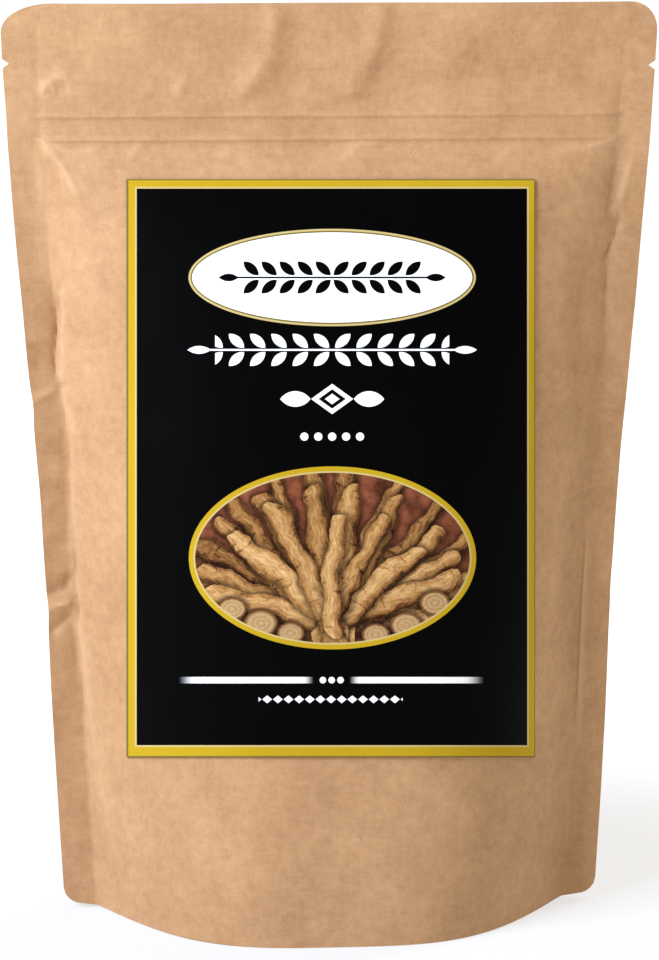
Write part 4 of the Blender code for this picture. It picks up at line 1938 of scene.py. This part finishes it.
@dataclass
class DriedRoots:
    """The dried roots that stand inside the pouch, wrinkled inside their solids."""

    count: int = 12
    sides: int = 56
    rings: int = 104
    inset: float = 0.93
    ridges: tuple[tuple[int, float], ...] = ((3, 0.020), (5, 0.022), (8, 0.020), (13, 0.014))
    twist: float = 55.0
    scars: int = 11
    scar_depth: float = 0.075
    scar_half: float = 0.0005
    scar_stretch: float = 0.08
    beat_rate: float = 260.0
    beat_share: float = 0.3
    end_round: float = 0.0013
    end_share: float = 0.34
    end_levels: tuple[float, ...] = (0.08, 0.25, 0.5, 0.75)
    end_dome: float = 0.0002
    ring_reach: float = 0.0005
    ring_least: float = 0.001
    sharp: float = 50.0
    first_seed: int = 40

    def build(self, frame: Mapping[str, Any], material: bpy.types.Material) -> None:
        """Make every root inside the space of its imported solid.

        Args:
            frame: The loaded frame.
            material: The bark.
        """
        for number in range(1, self.count + 1):
            name = f"root_{number:02d}"
            points = self._skin(frame["nodes"][name], np.random.default_rng(self.first_seed + number))
            faces = self._faces(len(points) // self.sides)
            piece = SheetMesh.make(f"{name}_bark", points, faces, self.sharp)
            dress(piece, material, [name])

    def _skin(self, solid: bpy.types.Object, draw: np.random.Generator) -> Array:
        """Return a root's points: its rings from foot to tip, then both ends' middles.

        Args:
            solid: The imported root.
            draw: Picks the wrinkles.

        Returns:
            The points.
        """
        angles = np.linspace(0.0, 2.0 * np.pi, self.sides, endpoint=False)
        levels, middles, reaches = self._sections(solid, angles)
        low, high = levels[0], levels[-1]
        close = self.end_round * np.array(self.end_levels)
        heights = np.sort(np.concatenate([np.linspace(low, high, self.rings), low + close, high - close]))
        middle = np.stack([np.interp(heights, levels, line) for line in middles.T], axis=-1)
        reach = np.stack([np.interp(heights, levels, line) for line in reaches.T], axis=-1)
        reach = reach * self.inset * self._wrinkles(heights, angles, draw)
        near = np.minimum(heights - low, high - heights)
        share = np.clip(1.0 - near / self.end_round, 0.0, 1.0)
        reach = reach * (1.0 - self.end_share * (1.0 - np.sqrt(1.0 - share * share)))[:, None]
        rings = np.empty((len(heights), self.sides, 3))
        rings[..., 0] = middle[:, :1] + reach * np.cos(angles)
        rings[..., 1] = middle[:, 1:] + reach * np.sin(angles)
        rings[..., 2] = heights[:, None]
        ends = [(*middle[0], low + self.end_dome), (*middle[-1], high - self.end_dome)]
        return np.concatenate([rings.reshape(-1, 3), np.array(ends)])

    def _sections(self, solid: bpy.types.Object, angles: Array) -> tuple[Array, Array, Array]:
        """Read the rings of a packed root.

        Args:
            solid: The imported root.
            angles: Where round a ring its reach is wanted.

        Returns:
            The rings' heights, their middles and their reach at each angle.
        """
        points = np.empty(3 * len(solid.data.vertices))
        solid.data.vertices.foreach_get("co", points)
        points = points.reshape(-1, 3)
        levels = np.unique(np.round(points[:, 2], 5))
        levels = levels[np.append(True, np.diff(levels) > self.ring_least)]
        middles = []
        reaches = []
        for level in levels:
            ring = points[np.abs(points[:, 2] - level) < self.ring_reach, :2]
            middle = 0.5 * (ring.min(axis=0) + ring.max(axis=0))
            away = ring - middle
            turn = np.arctan2(away[:, 1], away[:, 0])
            reaches.append(np.interp(angles, turn, np.hypot(away[:, 0], away[:, 1]), period=2.0 * np.pi))
            middles.append(middle)
        return levels, np.array(middles), np.array(reaches)

    def _wrinkles(self, heights: Array, angles: Array, draw: np.random.Generator) -> Array:
        """Return each point's share of its full reach, furrows along and scars across.

        Args:
            heights: The rings' heights.
            angles: Where round a ring.
            draw: Picks the wrinkles.

        Returns:
            The shares, rings by angles.
        """
        up = heights[:, None] - heights[0]
        total = np.ones((len(heights), len(angles)))
        for count, depth in self.ridges:
            start, slant, beat = draw.uniform(0.0, 2.0 * np.pi, 3)
            wave = np.sin(count * angles + start + self.twist * (slant - np.pi) * up)
            swing = 1.0 - self.beat_share + self.beat_share * np.sin(self.beat_rate * up + beat)
            total -= depth * (1.0 - wave * swing)
        for _ in range(self.scars):
            place = draw.uniform(heights[0], heights[-1])
            side, width = draw.uniform(0.0, 2.0 * np.pi, 2)
            ring = np.exp(-(((heights[:, None] - place) / self.scar_half) ** 2))
            around = np.clip(np.cos(angles - side) + self.scar_stretch * width, 0.0, 1.0)
            total -= self.scar_depth * ring * around
        return total

    def _faces(self, rings: int) -> list[list[int]]:
        """Return the faces of a tube of that many rings with closed ends.

        Args:
            rings: How many rings it has.

        Returns:
            The faces.
        """
        sides = self.sides
        r, c = np.meshgrid(np.arange(rings - 1), np.arange(sides), indexing="ij")
        first = (r * sides + c).ravel()
        after = (r * sides + (c + 1) % sides).ravel()
        faces = np.stack([first, after, after + sides, first + sides], axis=1).tolist()
        last = (rings - 1) * sides
        foot = rings * sides
        faces += [[foot, (side + 1) % sides, side] for side in range(sides)]
        faces += [[foot + 1, last + side, last + (side + 1) % sides] for side in range(sides)]
        return faces


@dataclass(frozen=True)
class SoftLight:
    """One square soft light, in metres and watts."""

    name: str
    place: Colour
    target: Colour
    size: float
    power: float
    colour: Colour

    def hang(self) -> None:
        """Hang the light where it belongs."""
        data = bpy.data.lights.new(self.name, "AREA")
        data.shape = "SQUARE"
        data.size = self.size
        data.energy = self.power
        data.color = self.colour
        light = bpy.data.objects.new(self.name, data)
        light.location = self.place
        light.rotation_euler = (Vector(self.target) - Vector(self.place)).to_track_quat("-Z", "Y").to_euler()
        bpy.context.scene.collection.objects.link(light)


@dataclass
class Studio:
    """Pale floor, soft lights and the camera."""

    sight: SightLine = field(default_factory=SightLine)
    focal: float = 3274.0
    frame_height: float = 960.0
    sensor: float = 36.0
    shift_left: float = 0.00028
    floor_half: float = 30.0
    floor_height: float = -0.0001
    floor_greys: Place = (0.23, 0.25)
    floor_roughness: float = 0.85
    floor_glow: Place = (0.66, 0.95)
    glow_reach: Place = (0.09, 0.24)
    room_colour: Colour = (1.0, 0.94, 0.85)
    room_strength: float = 0.60
    lights: tuple[SoftLight, ...] = (
        SoftLight("key_light", (-0.64, -0.41, 0.60), (0.0, 0.0, 0.10), 0.42, 11.4, (0.88, 1.0, 1.26)),
        SoftLight("back_light", (0.95, 0.62, 0.70), (0.0, 0.0, 0.11), 0.50, 9.0, (1.0, 0.99, 0.97)),
    )

    def build(self) -> None:
        """Set the whole studio up."""
        self._floor()
        self._world()
        for light in self.lights:
            light.hang()
        self._camera()
        bpy.context.scene.view_settings.view_transform = "Standard"

    def _floor(self) -> None:
        """Lay the pale floor, which glows more away from the pouch."""
        half = self.floor_half
        points = np.array([(-half, -half, 0.0), (half, -half, 0.0), (half, half, 0.0), (-half, half, 0.0)])
        floor = SheetMesh.make("studio_floor", points, [(0, 1, 2, 3)])
        floor.location.z = self.floor_height
        board = Board("studio_floor")
        place = board.object_place()
        dark, light = (grey(value) for value in self.floor_greys)
        colour = board.mix(board.noise(place, 3.0, 2.0), dark, light)
        near, far = (grey(value) for value in self.floor_glow)
        glow = board.mix(board.length(place).ramp(*self.glow_reach), near, far)
        plain = {"specular_ior_level": 0.0, "emission_color": glow, "emission_strength": 1.0}
        floor.data.materials.append(board.finish(colour, self.floor_roughness, None, 0.0, **plain))

    def _world(self) -> None:
        """Light the room evenly from all round."""
        world = bpy.data.worlds.new("studio")
        world.use_nodes = True
        background = world.node_tree.nodes["Background"]
        background.inputs["Color"].default_value = (*self.room_colour, 1.0)
        background.inputs["Strength"].default_value = self.room_strength
        bpy.context.scene.world = world

    def _camera(self) -> None:
        """Set the camera up at the sight point."""
        eye, line, level, upright = self.sight.axes()
        eye = eye - level * self.shift_left
        data = bpy.data.cameras.new("camera")
        data.sensor_width = self.sensor
        data.lens = self.focal / self.frame_height * self.sensor
        data.clip_start = 0.01
        data.clip_end = 100.0
        camera = bpy.data.objects.new("camera", data)
        turn = Matrix((level, upright, -line)).transposed()
        camera.matrix_world = Matrix.Translation(Vector(eye)) @ turn.to_4x4()
        bpy.context.scene.collection.objects.link(camera)
        bpy.context.scene.camera = camera


def main() -> None:
    """Dress the pouch and set up the studio."""
    logging.basicConfig(level=logging.INFO, format="%(name)s: %(message)s")
    form = PouchForm()
    kraft = KraftPaper().material()
    # The base's paper is the same kraft in darker tones: painted shade for the underside of the pouch.
    shaded_gusset_kraft = KraftPaper(name="gusset_paper", light=(0.470, 0.258, 0.115), dark=(0.245, 0.118, 0.043))
    front_relief = PanelRelief(form, Face.FRONT, FRONT_CREASES)
    back_creases = tuple(crease.mirrored(BACK_STRETCH) for crease in FRONT_CREASES[::2])
    back_relief = PanelRelief(form, Face.BACK, back_creases)
    PaperPanel(form, front_relief, "front_panel_skin").build(kraft)
    PaperPanel(form, back_relief, "back_panel_skin").build(kraft)
    BaseGusset(form).build(shaded_gusset_kraft.material())
    FrontLabel(form, front_relief).build(LabelPrint())
    PressZip().dress(frame, ZipPlastic().material())
    DriedRoots().build(frame, DriedRootBark().material())
    Studio().build()


if __name__ == "__main__":
    main()
